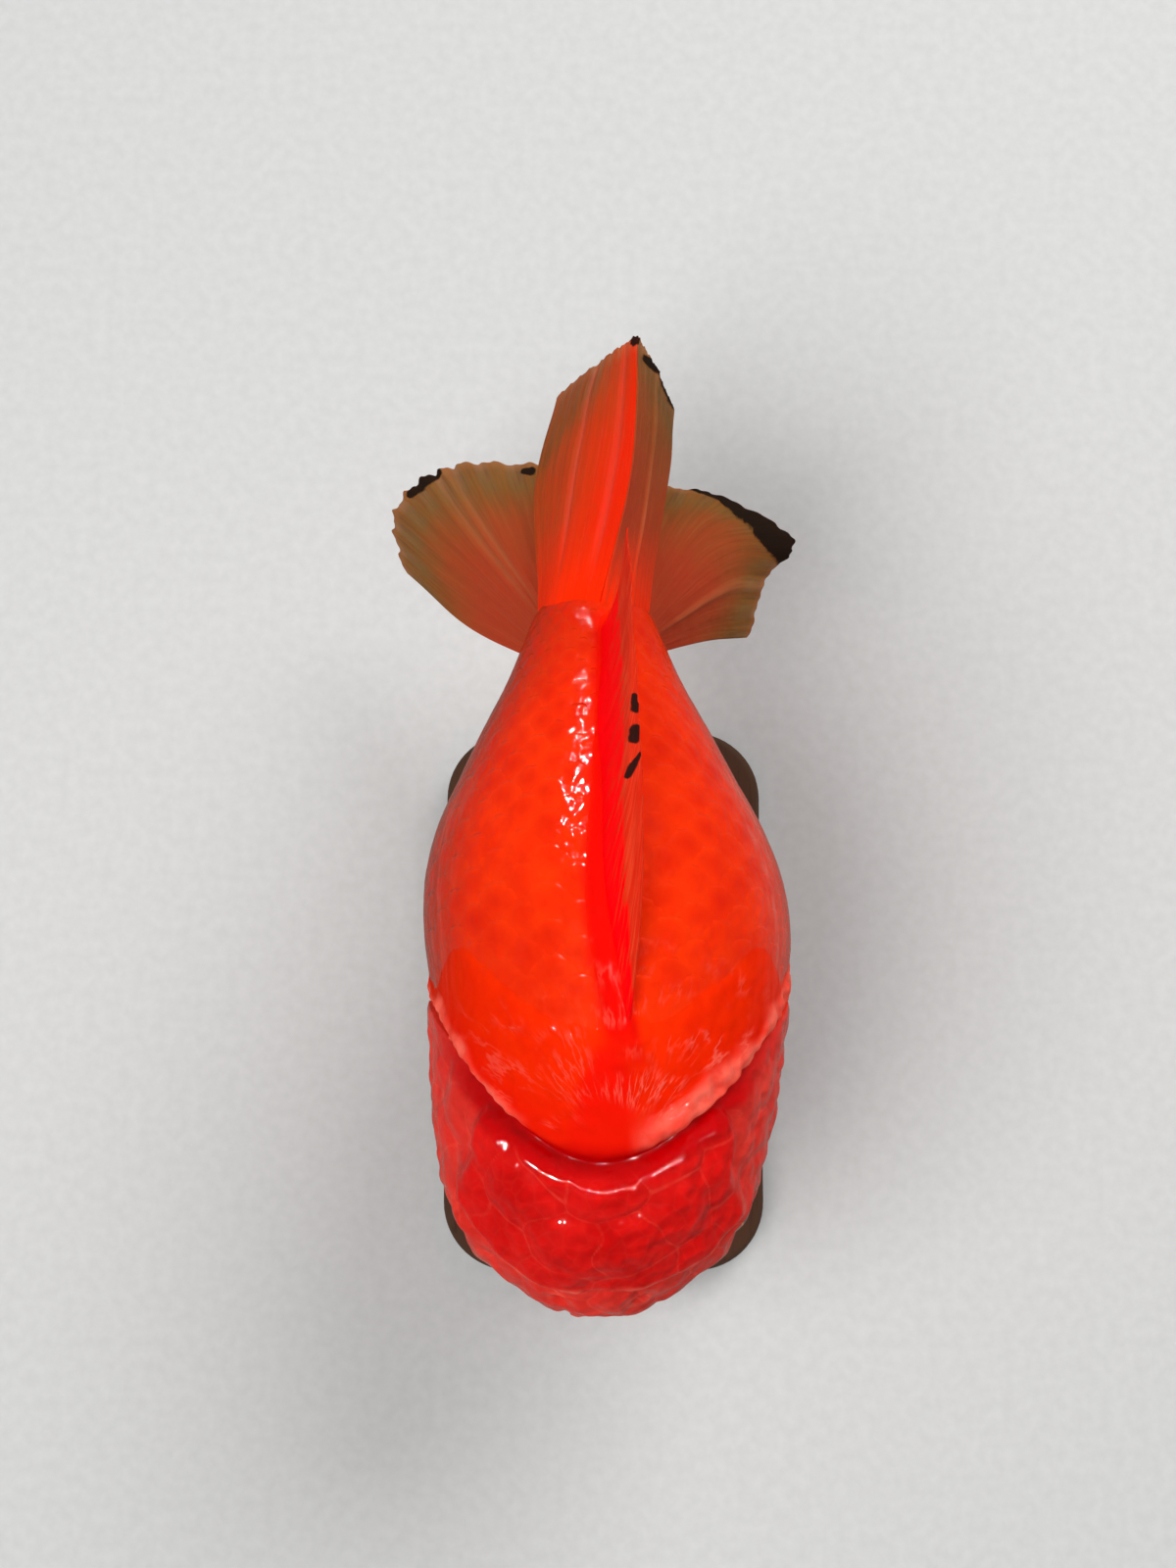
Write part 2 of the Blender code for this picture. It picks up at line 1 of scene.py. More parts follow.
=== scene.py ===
# %% [markdown]
# # A red oranda goldfish on a plain stand
#
# The model is one grown goldfish, life size and still, seen from above in its reference view.
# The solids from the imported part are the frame: they fix where each piece is and how large.
# This notebook dresses them. One skin takes the place of the head and body, scales lie over
# it in rows, finer fins stand where the plain ones do, and the stand gets wood and steel.

import json
import math

import bpy
import numpy as np
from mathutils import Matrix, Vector

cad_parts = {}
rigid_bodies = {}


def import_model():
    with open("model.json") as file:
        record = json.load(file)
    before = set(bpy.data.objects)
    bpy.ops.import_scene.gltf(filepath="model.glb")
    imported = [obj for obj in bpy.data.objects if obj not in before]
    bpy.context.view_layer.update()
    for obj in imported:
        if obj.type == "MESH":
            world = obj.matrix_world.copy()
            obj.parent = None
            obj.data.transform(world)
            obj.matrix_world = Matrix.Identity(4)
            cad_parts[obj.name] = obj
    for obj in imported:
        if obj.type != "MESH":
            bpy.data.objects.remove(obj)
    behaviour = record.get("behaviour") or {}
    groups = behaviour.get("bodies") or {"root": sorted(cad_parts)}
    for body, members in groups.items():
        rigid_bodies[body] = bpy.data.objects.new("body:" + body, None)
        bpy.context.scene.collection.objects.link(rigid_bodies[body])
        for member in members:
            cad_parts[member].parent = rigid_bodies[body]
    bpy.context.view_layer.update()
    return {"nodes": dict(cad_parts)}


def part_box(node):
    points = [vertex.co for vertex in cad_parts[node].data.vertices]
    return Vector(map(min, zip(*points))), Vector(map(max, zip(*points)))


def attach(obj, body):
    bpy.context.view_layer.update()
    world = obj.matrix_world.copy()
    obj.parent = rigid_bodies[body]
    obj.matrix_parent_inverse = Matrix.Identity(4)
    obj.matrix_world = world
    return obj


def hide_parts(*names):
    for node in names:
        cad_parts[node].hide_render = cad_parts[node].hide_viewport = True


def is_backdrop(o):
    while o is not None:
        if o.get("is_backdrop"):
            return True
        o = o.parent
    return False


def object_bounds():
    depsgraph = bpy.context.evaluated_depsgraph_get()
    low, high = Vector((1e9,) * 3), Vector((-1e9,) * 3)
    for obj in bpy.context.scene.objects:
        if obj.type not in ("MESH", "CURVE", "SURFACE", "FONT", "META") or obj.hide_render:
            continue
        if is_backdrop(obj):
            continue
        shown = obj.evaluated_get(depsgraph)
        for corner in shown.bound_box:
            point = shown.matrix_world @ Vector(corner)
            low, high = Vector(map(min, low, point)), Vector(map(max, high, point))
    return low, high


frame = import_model()
print("solids in the frame:", len(frame["nodes"]))

# %% [markdown]
# ## Measures
#
# All shapes are worked out in millimetres. Across is the fish's left, along runs from the lips
# back to the tail, and up is measured from the fish's own axis. The height of that axis over
# the shelf is read from the frame, from the ball of an eye, whose place on the fish is known.

# %% Units and the height of the axis
MM = 0.001
EYE_PLACE, EYE_RADIUS = (20.7, -39.5, 2.0), 6.0

eye_low, eye_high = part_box("eye_left")
AXIS_HEIGHT = (eye_low.z + eye_high.z) / 2 / MM - EYE_PLACE[2]


def to_model(points):
    """Millimetres on the fish to metres in the frame: raised by the axis height, times 0.001."""
    return (np.asarray(points, float) + (0, 0, AXIS_HEIGHT)) * MM


print("axis height, mm:", round(AXIS_HEIGHT, 2))

# %% [markdown]
# ## Curves, steps and noise
#
# Three small tools do most of the shaping. A smooth curve runs through a few chosen values. A
# step fades from 0 to 1 between two places. A ripple is uneven like flesh, and is the sum of
# a dozen waves whose directions come from a seed, so it is the same on every run.

# %% Shaping tools
WAVES, WAVE_SUM = 12, 3.5


def smooth(knots, values, at):
    """A cubic through the values, whose slope at each knot comes from its neighbours."""
    knots, values = np.asarray(knots, float), np.asarray(values, float)
    at = np.clip(np.asarray(at, float), knots[0], knots[-1])
    slope = np.gradient(values, knots, axis=0)
    i = np.clip(np.searchsorted(knots, at, side="right") - 1, 0, len(knots) - 2)
    lead = at.shape + (1,) * (values.ndim - 1)
    width = (knots[i + 1] - knots[i]).reshape(lead)
    t = (at - knots[i]).reshape(lead) / width
    rise = t * t * (3 - 2 * t)
    return (
        values[i] * (1 - rise)
        + values[i + 1] * rise
        + slope[i] * width * t * (1 - t) ** 2
        - slope[i + 1] * width * t * t * (1 - t)
    )


def step(x, low, high):
    """0 below low, 1 above high, and 3t^2 - 2t^3 between."""
    t = np.clip((x - low) / (high - low), 0, 1)
    return t * t * (3 - 2 * t)


def bump_at(x, middle, width):
    """A bell: e to the power of minus ((x - middle) / width) squared."""
    return np.exp(-(((x - middle) / width) ** 2))


def ripple(points, length, seed):
    """Unevenness of about -1 to 1: a dozen sine waves in random directions, added up."""
    chance = np.random.default_rng(seed)
    total = np.zeros(points.shape[:-1])
    for _ in range(WAVES):
        direction = chance.normal(size=3)
        wave = length * chance.uniform(0.7, 1.6)
        total += np.sin(points @ (direction / np.linalg.norm(direction)) * 2 * math.pi / wave
                        + chance.uniform(0, 2 * math.pi))
    return total / WAVE_SUM


print("a step at its quarters:", step(np.linspace(0, 1, 5), 0, 1))

# %% [markdown]
# ## Grids to meshes
#
# Every piece is a grid of points, worked out as one array. A grid that wraps round is closed at
# its two ends by a fan to a point. The faces are index arrays, so nothing loops over vertices.

# %% Mesh tools
def add_mesh(name, points, faces, material):
    """A shaded mesh object from arrays, riding on the frame, with triangles or quads as faces."""
    mesh = bpy.data.meshes.new(name)
    corners = np.concatenate([np.asarray(f).ravel() for f in faces])
    sizes = np.concatenate([np.full(len(f), np.asarray(f).shape[1]) for f in faces])
    mesh.vertices.add(len(points))
    mesh.vertices.foreach_set("co", np.asarray(points, np.float32).ravel())
    mesh.loops.add(len(corners))
    mesh.loops.foreach_set("vertex_index", corners.astype(np.int32))
    mesh.polygons.add(len(sizes))
    starts = np.concatenate([[0], np.cumsum(sizes)[:-1]])
    mesh.polygons.foreach_set("loop_start", starts.astype(np.int32))
    mesh.polygons.foreach_set("use_smooth", np.ones(len(sizes), bool))
    mesh.update(calc_edges=True)
    mesh.validate()
    mesh.materials.append(material)
    piece = bpy.data.objects.new(name, mesh)
    bpy.context.scene.collection.objects.link(piece)
    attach(piece, "root")
    return piece


def paint(piece, name, values):
    """Keeps one number for each vertex, which a material reads by its name."""
    layer = piece.data.attributes.new(name, "FLOAT", "POINT")
    layer.data.foreach_set("value", np.asarray(values, np.float32).ravel())


def unwrap(piece, name, places):
    """A UV map from one pair of numbers for each vertex."""
    corners = np.zeros(len(piece.data.loops), np.int32)
    piece.data.loops.foreach_get("vertex_index", corners)
    layer = piece.data.uv_layers.new(name=name)
    layer.data.foreach_set("uv", np.asarray(places, np.float32)[corners].ravel())


# %% Faces and normals of a grid that wraps round
def tube_faces(rows, sides):
    """Quads of a grid that wraps along its second axis, and fans to a point at each end."""
    i, j = np.meshgrid(np.arange(rows - 1), np.arange(sides), indexing="ij")
    k = (j + 1) % sides
    quads = np.stack([i * sides + j, (i + 1) * sides + j, (i + 1) * sides + k, i * sides + k], -1)
    ring = np.arange(sides)
    after = (ring + 1) % sides
    last = (rows - 1) * sides
    front = np.stack([ring, after, np.full(sides, rows * sides)], -1)
    back = np.stack([last + after, last + ring, np.full(sides, rows * sides + 1)], -1)
    return quads.reshape(-1, 4), np.concatenate([front, back])


def grid_normals(points):
    """Unit normals of a grid that wraps along its second axis, facing out of the tube."""
    along = np.gradient(points, axis=0)
    wrapped = np.concatenate([points[:, -1:], points, points[:, :1]], axis=1)
    out = np.cross(along, (wrapped[:, 2:] - wrapped[:, :-2]) / 2)
    return out / np.maximum(np.linalg.norm(out, axis=-1, keepdims=True), 1e-9)


# %% [markdown]
# ## The plain body
#
# The body of a fancy goldfish is an egg with a short stalk behind. It is a surface of two
# parameters: run, the way back from the mouth along the side, and turn, the angle round the
# body from the fish's left up over the back. A row gives, for one place along, the half width,
# the top, the bottom and the level of the widest line. The first rows roll out over the lips.

# %% The body's rows
MOUTH_UP = -5.0
LIPS = [
    (-56.6, 0.0, MOUTH_UP, MOUTH_UP, MOUTH_UP),
    (-57.4, 2.7, MOUTH_UP + 0.4, MOUTH_UP - 0.4, MOUTH_UP),
    (-59.0, 3.6, MOUTH_UP + 1.3, MOUTH_UP - 1.3, MOUTH_UP),
    (-59.4, 4.7, MOUTH_UP + 2.6, MOUTH_UP - 2.5, MOUTH_UP),
    (-57.6, 5.8, MOUTH_UP + 3.8, MOUTH_UP - 3.6, MOUTH_UP),
]
BODY = [
    (-56.0, 8.6, 6.5, -13.0, -3.0),
    (-52.5, 15.4, 15.0, -18.5, -3.0),
    (-48.6, 20.4, 20.5, -22.5, -3.0),
    (-41.6, 24.6, 26.0, -27.0, -3.0),
    (-34.5, 27.7, 29.2, -30.5, -3.5),
    (-24.0, 30.3, 32.6, -34.0, -4.5),
    (-11.0, 31.7, 35.8, -36.8, -5.5),
    (0.0, 32.9, 37.6, -38.2, -6.0),
    (10.0, 33.8, 38.2, -38.6, -6.0),
    (19.0, 33.0, 37.5, -38.0, -5.5),
    (28.0, 30.2, 35.8, -35.0, -4.5),
    (37.0, 25.6, 32.6, -29.0, -2.5),
    (46.0, 20.8, 28.6, -21.0, 0.5),
    (54.0, 16.2, 24.6, -12.5, 4.0),
    (62.0, 12.6, 20.0, -5.5, 6.5),
    (70.0, 9.2, 16.5, -1.0, 8.0),
]
UPPER_ROUNDNESS, LOWER_ROUNDNESS = 2.0, 2.3
BEND = [(-59.0, -1.3), (-35.0, -0.8), (5.0, 0.5), (32.0, -1.3), (70.0, -2.4)]
GILL_END, NAPE, THROAT, EDGE_SHARPNESS = -3.0, -31.5, -19.0, 1.9

STATIONS = np.array(LIPS + BODY)
RUNS = np.concatenate([[0.0], np.cumsum(np.hypot(*np.diff(STATIONS[:, :2], axis=0).T))])
LIPS_RUN, END_RUN = RUNS[len(LIPS) - 1], RUNS[-1]
FINE_STEPS = 400
FINE_RUNS = np.linspace(LIPS_RUN, END_RUN, FINE_STEPS)
FINE_ALONG = smooth(RUNS, STATIONS, FINE_RUNS)[:, 0]
print("way along the side, mm:", round(float(END_RUN), 1))


# %% Points on the plain body
def run_at(along):
    """The run whose place along is the one given, read from the fine table."""
    return np.interp(along, FINE_ALONG, FINE_RUNS)


def bend_at(along):
    """How far the middle line is moved across: a smooth curve through the values of BEND."""
    knots, shift = np.array(BEND).T
    return smooth(knots, shift, along)


def body_point(run, turn):
    """Across is width times cos to a power, up is reach times sin to a power, as an egg's are."""
    along, width, top, bottom, level = np.moveaxis(smooth(RUNS, STATIONS, run), -1, 0)
    across, up = np.cos(turn), np.sin(turn)
    power = 2 / np.where(up >= 0, UPPER_ROUNDNESS, LOWER_ROUNDNESS)
    reach = np.where(up >= 0, top - level, level - bottom)
    x = width * np.sign(across) * np.abs(across) ** power + bend_at(along)
    z = level + reach * np.sign(up) * np.abs(up) ** power
    return np.stack([x, along, z], axis=-1)


def head_edge(turn):
    """The run at which the head ends: far back at the gills and well forward at the nape."""
    up = np.sin(turn)
    forward = np.where(up >= 0, GILL_END - NAPE, GILL_END - THROAT)
    return run_at(GILL_END - forward * np.abs(up) ** EDGE_SHARPNESS)


print("head's edge at the nape, mm along:", NAPE, "and at the gills:", GILL_END)

# %% [markdown]
# ## Materials from formulas
#
# A material's pattern is written as a formula. Link holds one socket, and Python's own signs
# then make the Math nodes, so 1 - mask works as it reads. Recipe holds one material: make adds
# any other node, and blend mixes two colours.

# %% Links
class Link:
    """A socket in a material, which +, -, *, / and ** turn into Math nodes."""

    def __init__(self, recipe, socket):
        self.recipe, self.socket = recipe, socket

    def maths(self, operation, *values, clamp=False):
        """A Math node of this operation on the values, in order."""
        settings = {"operation": operation, "use_clamp": clamp}
        return self.recipe.make("ShaderNodeMath", settings, dict(enumerate(values)))

    def __add__(self, other):
        return self.maths("ADD", self, other)

    __radd__ = __add__

    def __mul__(self, other):
        return self.maths("MULTIPLY", self, other)

    __rmul__ = __mul__

    def __sub__(self, other):
        return self.maths("SUBTRACT", self, other)

    def __rsub__(self, other):
        return self.maths("SUBTRACT", other, self)

    def __truediv__(self, other):
        return self.maths("DIVIDE", self, other)

    def __rtruediv__(self, other):
        return self.maths("DIVIDE", other, self)

    def __pow__(self, other):
        return self.maths("POWER", self, other)

    def between(self, low, high):
        """0 below low, 1 above high, and straight between; low may be the larger."""
        return self.maths("MULTIPLY", self - low, 1 / (high - low), clamp=True)

    def bell(self, middle, width):
        """e to the power of minus ((this - middle) / width) squared."""
        away = (self - middle) / width
        return self.maths("EXPONENT", away * away * -1.0)


# %% Recipes
class Recipe:
    """One material, whose shader is Principled."""

    def __init__(self, name, **constants):
        self.open(bpy.data.materials.new(name), "Principled BSDF")
        for key, value in constants.items():
            self.named(key).default_value = value

    def open(self, holder, shader):
        """Starts the nodes of a material, or of a world, and finds the shader that ends them."""
        holder.use_nodes = True
        self.holder, self.nodes, self.links = holder, holder.node_tree.nodes, holder.node_tree.links
        self.shader = self.nodes[shader]

    def named(self, key):
        """The shader's socket of this name, written in capitals and with spaces."""
        return self.shader.inputs[key.replace("_", " ").title().replace("Ior", "IOR")]

    def make(self, kind, settings=None, sockets=None, output=0):
        """Adds a node: its settings first, then the values or links of its sockets."""
        node = self.nodes.new(kind)
        for key, value in (settings or {}).items():
            setattr(node, key, value)
        for key, value in (sockets or {}).items():
            self.feed(node.inputs[key], value)
        return Link(self, node.outputs[output])

    def feed(self, socket, value):
        """Links a socket where the value is a link, and otherwise sets it."""
        if isinstance(value, Link):
            self.links.new(value.socket, socket)
        elif isinstance(value, tuple) and len(value) == 3 and socket.type == "RGBA":
            socket.default_value = (*value, 1.0)
        else:
            socket.default_value = value

    def blend(self, share, first, second):
        """The first colour where the share is 0, the second where it is 1."""
        return self.make(
            "ShaderNodeMix", {"data_type": "RGBA"}, {0: share, 6: first, 7: second}, output=2
        )

    def painted(self, name):
        """The number kept for each vertex under this name."""
        return self.make("ShaderNodeAttribute", {"attribute_name": name}, output=2)

    def place(self):
        """The point in the object's own measures, which are the frame's."""
        return self.make("ShaderNodeTexCoord", output="Object")

    def lie(self):
        """The piece's own map, called lie."""
        return self.make("ShaderNodeUVMap", {"uv_map": "lie"})

    def part(self, vector, k):
        """One of a vector's three parts."""
        return self.make("ShaderNodeSeparateXYZ", {}, {0: vector}, output=k)

    def noise(self, at, scale, detail=2.0, roughness=0.5):
        """Cloudy noise from 0 to 1, with scale clouds to a metre."""
        sockets = {"Vector": at, "Scale": scale, "Detail": detail, "Roughness": roughness}
        return self.make("ShaderNodeTexNoise", {}, sockets)

    def from_cell_edge(self, at, scale):
        """How far a point lies from the edge of its cell, among scattered cells."""
        settings = {"feature": "DISTANCE_TO_EDGE"}
        return self.make("ShaderNodeTexVoronoi", settings, {"Vector": at, "Scale": scale})

    def grain(self, at, scale):
        """Noise of the vector with each of its parts multiplied, so that it runs in streaks."""
        settings = {"operation": "MULTIPLY"}
        stretched = self.make("ShaderNodeVectorMath", settings, {0: at, 1: scale})
        return self.noise(stretched, 1.0, 3.0, 0.6)

    def bump(self, height, distance, strength):
        """A normal tilted by the slope of a height, whose unit is the distance."""
        sockets = {"Height": height, "Distance": distance, "Strength": strength}
        return self.make("ShaderNodeBump", {}, sockets)

    def finish(self, **sockets):
        """Feeds the shader's sockets: colour, roughness, alpha, coat or normal."""
        for key, value in sockets.items():
            self.feed(self.named(key), value)
        print(self.holder.name, "nodes:", len(self.nodes))
        return self.holder


# %% [markdown]
# ## The marks of the flesh
#
# The hood is a growth of soft lobes, crimson and wet. Thin pale walls part the lobes, and over
# the crown they join in one dome with a fold round its edge. Behind the hood the back swells
# out in a hump that hangs over a deep groove. Each mark is first a number at every point: the
# shape is moved by it, and the material tints by the same number, so the two always agree.

# %% Distances to the lobes' centres
def spread_points(points, spacing):
    """Picks points, each the farthest from those before it, until none is a spacing away."""
    chosen = [0]
    distance = np.linalg.norm(points - points[0], axis=-1)
    while distance.max() > spacing:
        chosen.append(int(distance.argmax()))
        distance = np.minimum(distance, np.linalg.norm(points - points[chosen[-1]], axis=-1))
    return points[chosen]


def near_two(points, centres):
    """Distances from each point to the nearest centre and to the next one."""
    first = np.full(points.shape[:-1], np.inf)
    second = first.copy()
    for centre in centres:
        distance = np.linalg.norm(points - centre, axis=-1)
        second = np.minimum(second, np.maximum(first, distance))
        first = np.minimum(first, distance)
    return first, second


def uneven(points, amount, length, seed):
    """The points moved about, so that what is measured on them isn't too regular."""
    shift = [ripple(points, length, seed + k) for k in range(3)]
    return points + amount * np.stack(shift, axis=-1)


# %% The crown, its edge and the eyes' surrounds
CROWN_MIDDLE, CROWN_HALF_WIDTH, CROWN_HALF_LENGTH = (-0.8, -33.0), 23.2, 19.3
CROWN_WAVER, CROWN_WAVE = 0.9, 15.0
EYE_RING, EYE_RIM, EYE_RIM_OUT, EYE_RIM_WIDTH = (0.4, 3.6), 1.2, 1.7, 1.6
BROW_PLACE, BROW_RISE, BROW_WIDTH = (21.5, -39.0, 9.5), 2.2, 4.5
NOSTRIL_ALONG, NOSTRIL_TURN, NOSTRIL_RADIUS = -54.4, 0.95, 1.3


def inside_crown(points):
    """Millimetres inside the crown's edge, which is an ellipse seen from above."""
    x = (points[..., 0] - CROWN_MIDDLE[0]) / CROWN_HALF_WIDTH
    y = (points[..., 1] - CROWN_MIDDLE[1]) / CROWN_HALF_LENGTH
    inside = (1 - np.sqrt(x * x + y * y)) * (CROWN_HALF_WIDTH + CROWN_HALF_LENGTH) / 2
    inside = inside + CROWN_WAVER * ripple(points, CROWN_WAVE, 91)
    return np.where(points[..., 2] > 0, inside, np.minimum(inside, points[..., 2]))


def distance_beside(points, place):
    """Distance to a place given for the fish's left, or to its like on the right."""
    x, y, z = np.moveaxis(points, -1, 0)
    folded = np.stack([np.abs(x - bend_at(y)), y, z], axis=-1)
    return np.linalg.norm(folded - place, axis=-1)


nostril_place = body_point(run_at(NOSTRIL_ALONG), NOSTRIL_TURN) - (bend_at(NOSTRIL_ALONG), 0, 0)
print("nostril at, mm:", np.round(nostril_place, 1))

# %% The skin's grid
SKIN_SIDES = 408
LIP_ROWS, HEAD_ROWS, BODY_ROWS = 14, 132, 84
BODY_CROWDING = 1.5

turns = np.linspace(0, 2 * math.pi, SKIN_SIDES, endpoint=False)[None]
edge = head_edge(turns)
lip_share = np.linspace(0, 1, LIP_ROWS + 1)[1:-1, None]
head_share = np.linspace(0, 1, HEAD_ROWS)[:, None]
body_share = np.linspace(0, 1, BODY_ROWS)[1:, None] ** BODY_CROWDING
runs = np.concatenate([
    LIPS_RUN * lip_share + 0 * turns,
    LIPS_RUN + (edge - LIPS_RUN) * head_share,
    edge + (END_RUN - edge) * body_share,
])
turns = np.broadcast_to(turns, runs.shape)
plain = body_point(runs, turns)
outward = grid_normals(plain)
ahead = edge - runs
behind = -ahead
on_head = (ahead >= 0).astype(float)
print("skin grid:", runs.shape, "quads:", runs.size)

# %% [markdown]
# ### The hood's lobes
#
# A lobe is a low dome round a centre, and the centres are spread as evenly as seeds in a pod.
# The dome falls to a crease where the next lobe is as near. The lobes are broad over the crown
# and smaller on the cheeks, as on the real fish. Voxel sculpting could give such lobes too, but
# this keeps the distance to the nearest wall, which the material then needs for the pale walls.

# %% Lobes
CROWN_LOBE, CHEEK_LOBE, CHEEK_SHARE = 8.5, 6.4, 0.75
LOBE_HEIGHT, CROWN_RISE, CREASE = 1.2, 1.3, 0.16
HOOD_BOTTOM, HOOD_FRONT = (-27.0, -14.0), (-59.0, -55.5)
COARSE = slice(None, None, 3)

crown_inside = inside_crown(plain)
crown = step(crown_inside, -0.8, 1.4)
hood_cover = step(plain[..., 2], *HOOD_BOTTOM) * step(plain[..., 1], *HOOD_FRONT) * on_head
warped = uneven(plain, 0.9, 9.0, 5)
few, in_hood, on_crown = (grid[COARSE, COARSE] for grid in (warped, hood_cover > 0.3, crown > 0.5))
crown_first, crown_second = near_two(warped, spread_points(few[in_hood & on_crown], CROWN_LOBE))
cheek_first, cheek_second = near_two(warped, spread_points(few[in_hood & ~on_crown], CHEEK_LOBE))


def dome(first, second, spacing):
    """1 at a lobe's centre, less with the square of the distance, rounded where two lobes meet."""
    softened = -np.log(np.exp(-CREASE * first**2) + np.exp(-CREASE * second**2)) / CREASE
    return np.clip(1 - softened / (0.85 * spacing) ** 2, 0, 1)


lobes = crown * dome(crown_first, crown_second, CROWN_LOBE)
lobes += (1 - crown) * CHEEK_SHARE * dome(cheek_first, cheek_second, CHEEK_LOBE)
wall_gap = crown * (crown_second - crown_first) + (1 - crown) * (cheek_second - cheek_first)
print("lobes reach, mm:", round(float(lobes.max() * LOBE_HEIGHT), 2))

# %% [markdown]
# ### The groove, the hump and the creases
#
# Over the nape the head sinks into a groove and the back starts with a lip that leans forward
# over it. Down the sides the gill cover ends in a thin rim with a narrow slit behind. Fine
# creases fan out behind the groove, in patches and mostly on the fish's left, and a band of
# paler folds lies along the edge of the gill cover, broader on that side.

# %% Fold marks
NAPE_SINES = (0.3, 0.72)
GROOVE_WIDTH, HUMP_LENGTH = 3.4, 13
FAN_PLACE, FAN_LINES = (1.8, -30.5), 23
FAN_NEAR, FAN_FAR, FAN_SIDES, FAN_UP = (5, 10), (28, 42), (1.1, 1.4), (8, 18)
BAND_LEFT, BAND_RIGHT, BAND_FADE = 4.8, 2.2, 2.4

nape = step(np.sin(turns), *NAPE_SINES)
groove = nape * on_head * bump_at(ahead, 0, GROOVE_WIDTH)
groove += nape * (1 - on_head) * (1 - step(behind, 0, 2.0))
hump = nape * (1 - on_head) * step(behind, 0.2, 2.6) * bump_at(behind, 0, HUMP_LENGTH)
gill_rim = (1 - nape) * on_head * bump_at(ahead, 1.2, 1.5)
gill_slit = (1 - nape) * (1 - on_head) * bump_at(behind, 0.5, 1.1)


def fan_mark(points):
    """Lines that spread back from the middle of the groove, and the patches where they show."""
    x, y = points[..., 0] - FAN_PLACE[0], points[..., 1] - FAN_PLACE[1]
    turn = np.arctan2(x, y) + 0.07 * ripple(points, 9.0, 31)
    reach = np.hypot(x, y)
    lines = np.clip(np.sin(turn * FAN_LINES + 0.12 * reach), 0, 1) ** 3
    window = step(reach, *FAN_NEAR) * (1 - step(reach, *FAN_FAR))
    window *= (1 - step(np.abs(turn), *FAN_SIDES)) * step(points[..., 2], *FAN_UP)
    window *= 0.45 + 0.55 * step(x, -4, 4)
    window *= step(ripple(points, 8.0, 17), -0.7, 0.5)
    return lines, window


fan_lines, fan_window = fan_mark(plain)
fan = fan_window * step(behind, 1.5, 4) * nape

on_left = plain[..., 0] > 0
band_width = np.where(on_left, BAND_LEFT, BAND_RIGHT) + 1.4 * ripple(plain, 9.0, 41)
band = (1 - on_head) * step(behind, 0.3, 1.3)
band *= 1 - step(behind, band_width, band_width + BAND_FADE)
band *= step(np.where(on_left, plain[..., 0], -plain[..., 0] - 9), 3, 8)
band *= step(plain[..., 2], -6, 6)
print("share of the skin under creases:", round(float((fan > 0.1).mean()), 3))

# %% [markdown]
# ### The skin
#
# The skin is the plain body moved out by all the marks. Under the scales it lies a little way
# in, so that no patch of it shows between them. It takes the place of six solids of flesh, and
# as one surface it has no seam.

# %% The foot of the back fin
FOOT_LINE = [(2.0, -17), (-2.8, 10), (-1.6, 38), (-0.8, 60)]
FOOT_RISE, FOOT_PLACE, FOOT_WIDTH = 1.7, 2.3, 2.3


def beside_foot(points):
    """Millimetres to the fish's left of the line that the back fin grows from."""
    across, along = np.array(FOOT_LINE, float).T
    return points[..., 0] - smooth(along, across, points[..., 1])


def foot_ends(points):
    """1 along the fin's foot, fading to 0 in front of it, behind it and under the fish."""
    along = points[..., 1]
    return step(along, -20, -8) * (1 - step(along, 60, 67)) * step(points[..., 2], 0, 8)


foot = bump_at(beside_foot(plain), FOOT_PLACE, FOOT_WIDTH) * foot_ends(plain)
print("foot's length, mm:", FOOT_LINE[-1][1] - FOOT_LINE[0][1])

# %% Where the scales lie
SCALE_DEPTH = 0.45
STALK_DIP, DIP_ALONG = 1.1, (65.0, 70.5)
SCALES_BEHIND_NAPE, SCALES_BEHIND_GILL = 19.0, 2.5
GROWN_BEHIND = (-16, 10)


def scales_start(nape):
    """How far behind the head's edge the scales begin, later over the nape than at the gills."""
    return SCALES_BEHIND_GILL + (SCALES_BEHIND_NAPE - SCALES_BEHIND_GILL) * nape


scaled = step(behind, scales_start(nape), scales_start(nape) + 6)
print("share of the skin under scales:", round(float(scaled.mean()), 2))

# %% Marks round the eyes and nostrils, and the fold round the crown
from_eye = distance_beside(plain, EYE_PLACE) - EYE_RADIUS
eye_rim = EYE_RIM * bump_at(from_eye, EYE_RIM_OUT, EYE_RIM_WIDTH)
eye_hole = 1 - step(from_eye, -0.5, 0.3)
brow = bump_at(distance_beside(plain, BROW_PLACE), 0, BROW_WIDTH) * step(from_eye, -0.5, 1.5)
from_nostril = distance_beside(plain, nostril_place) - NOSTRIL_RADIUS
nostril_pit = 1 - step(from_nostril, -1.0, 0.3)
nostril_rim = bump_at(from_nostril, 0.7, 0.6)

bare = step(from_eye, *EYE_RING) * step(from_nostril, 0.4, 2.6)
fading = step(ahead, 0, 4.0)
flesh_cover = hood_cover * fading
fold_line = bump_at(crown_inside, 0.4, 0.6) * flesh_cover
fold_line *= step(-plain[..., 1], 34, 44) * step(ripple(plain, 10.0, 33), -0.9, 0.3)
fold_ditch = bump_at(crown_inside, -1.3, 1.0) * flesh_cover
print("nearest row to an eye's middle, mm:", round(float(from_eye.min() + EYE_RADIUS), 2))

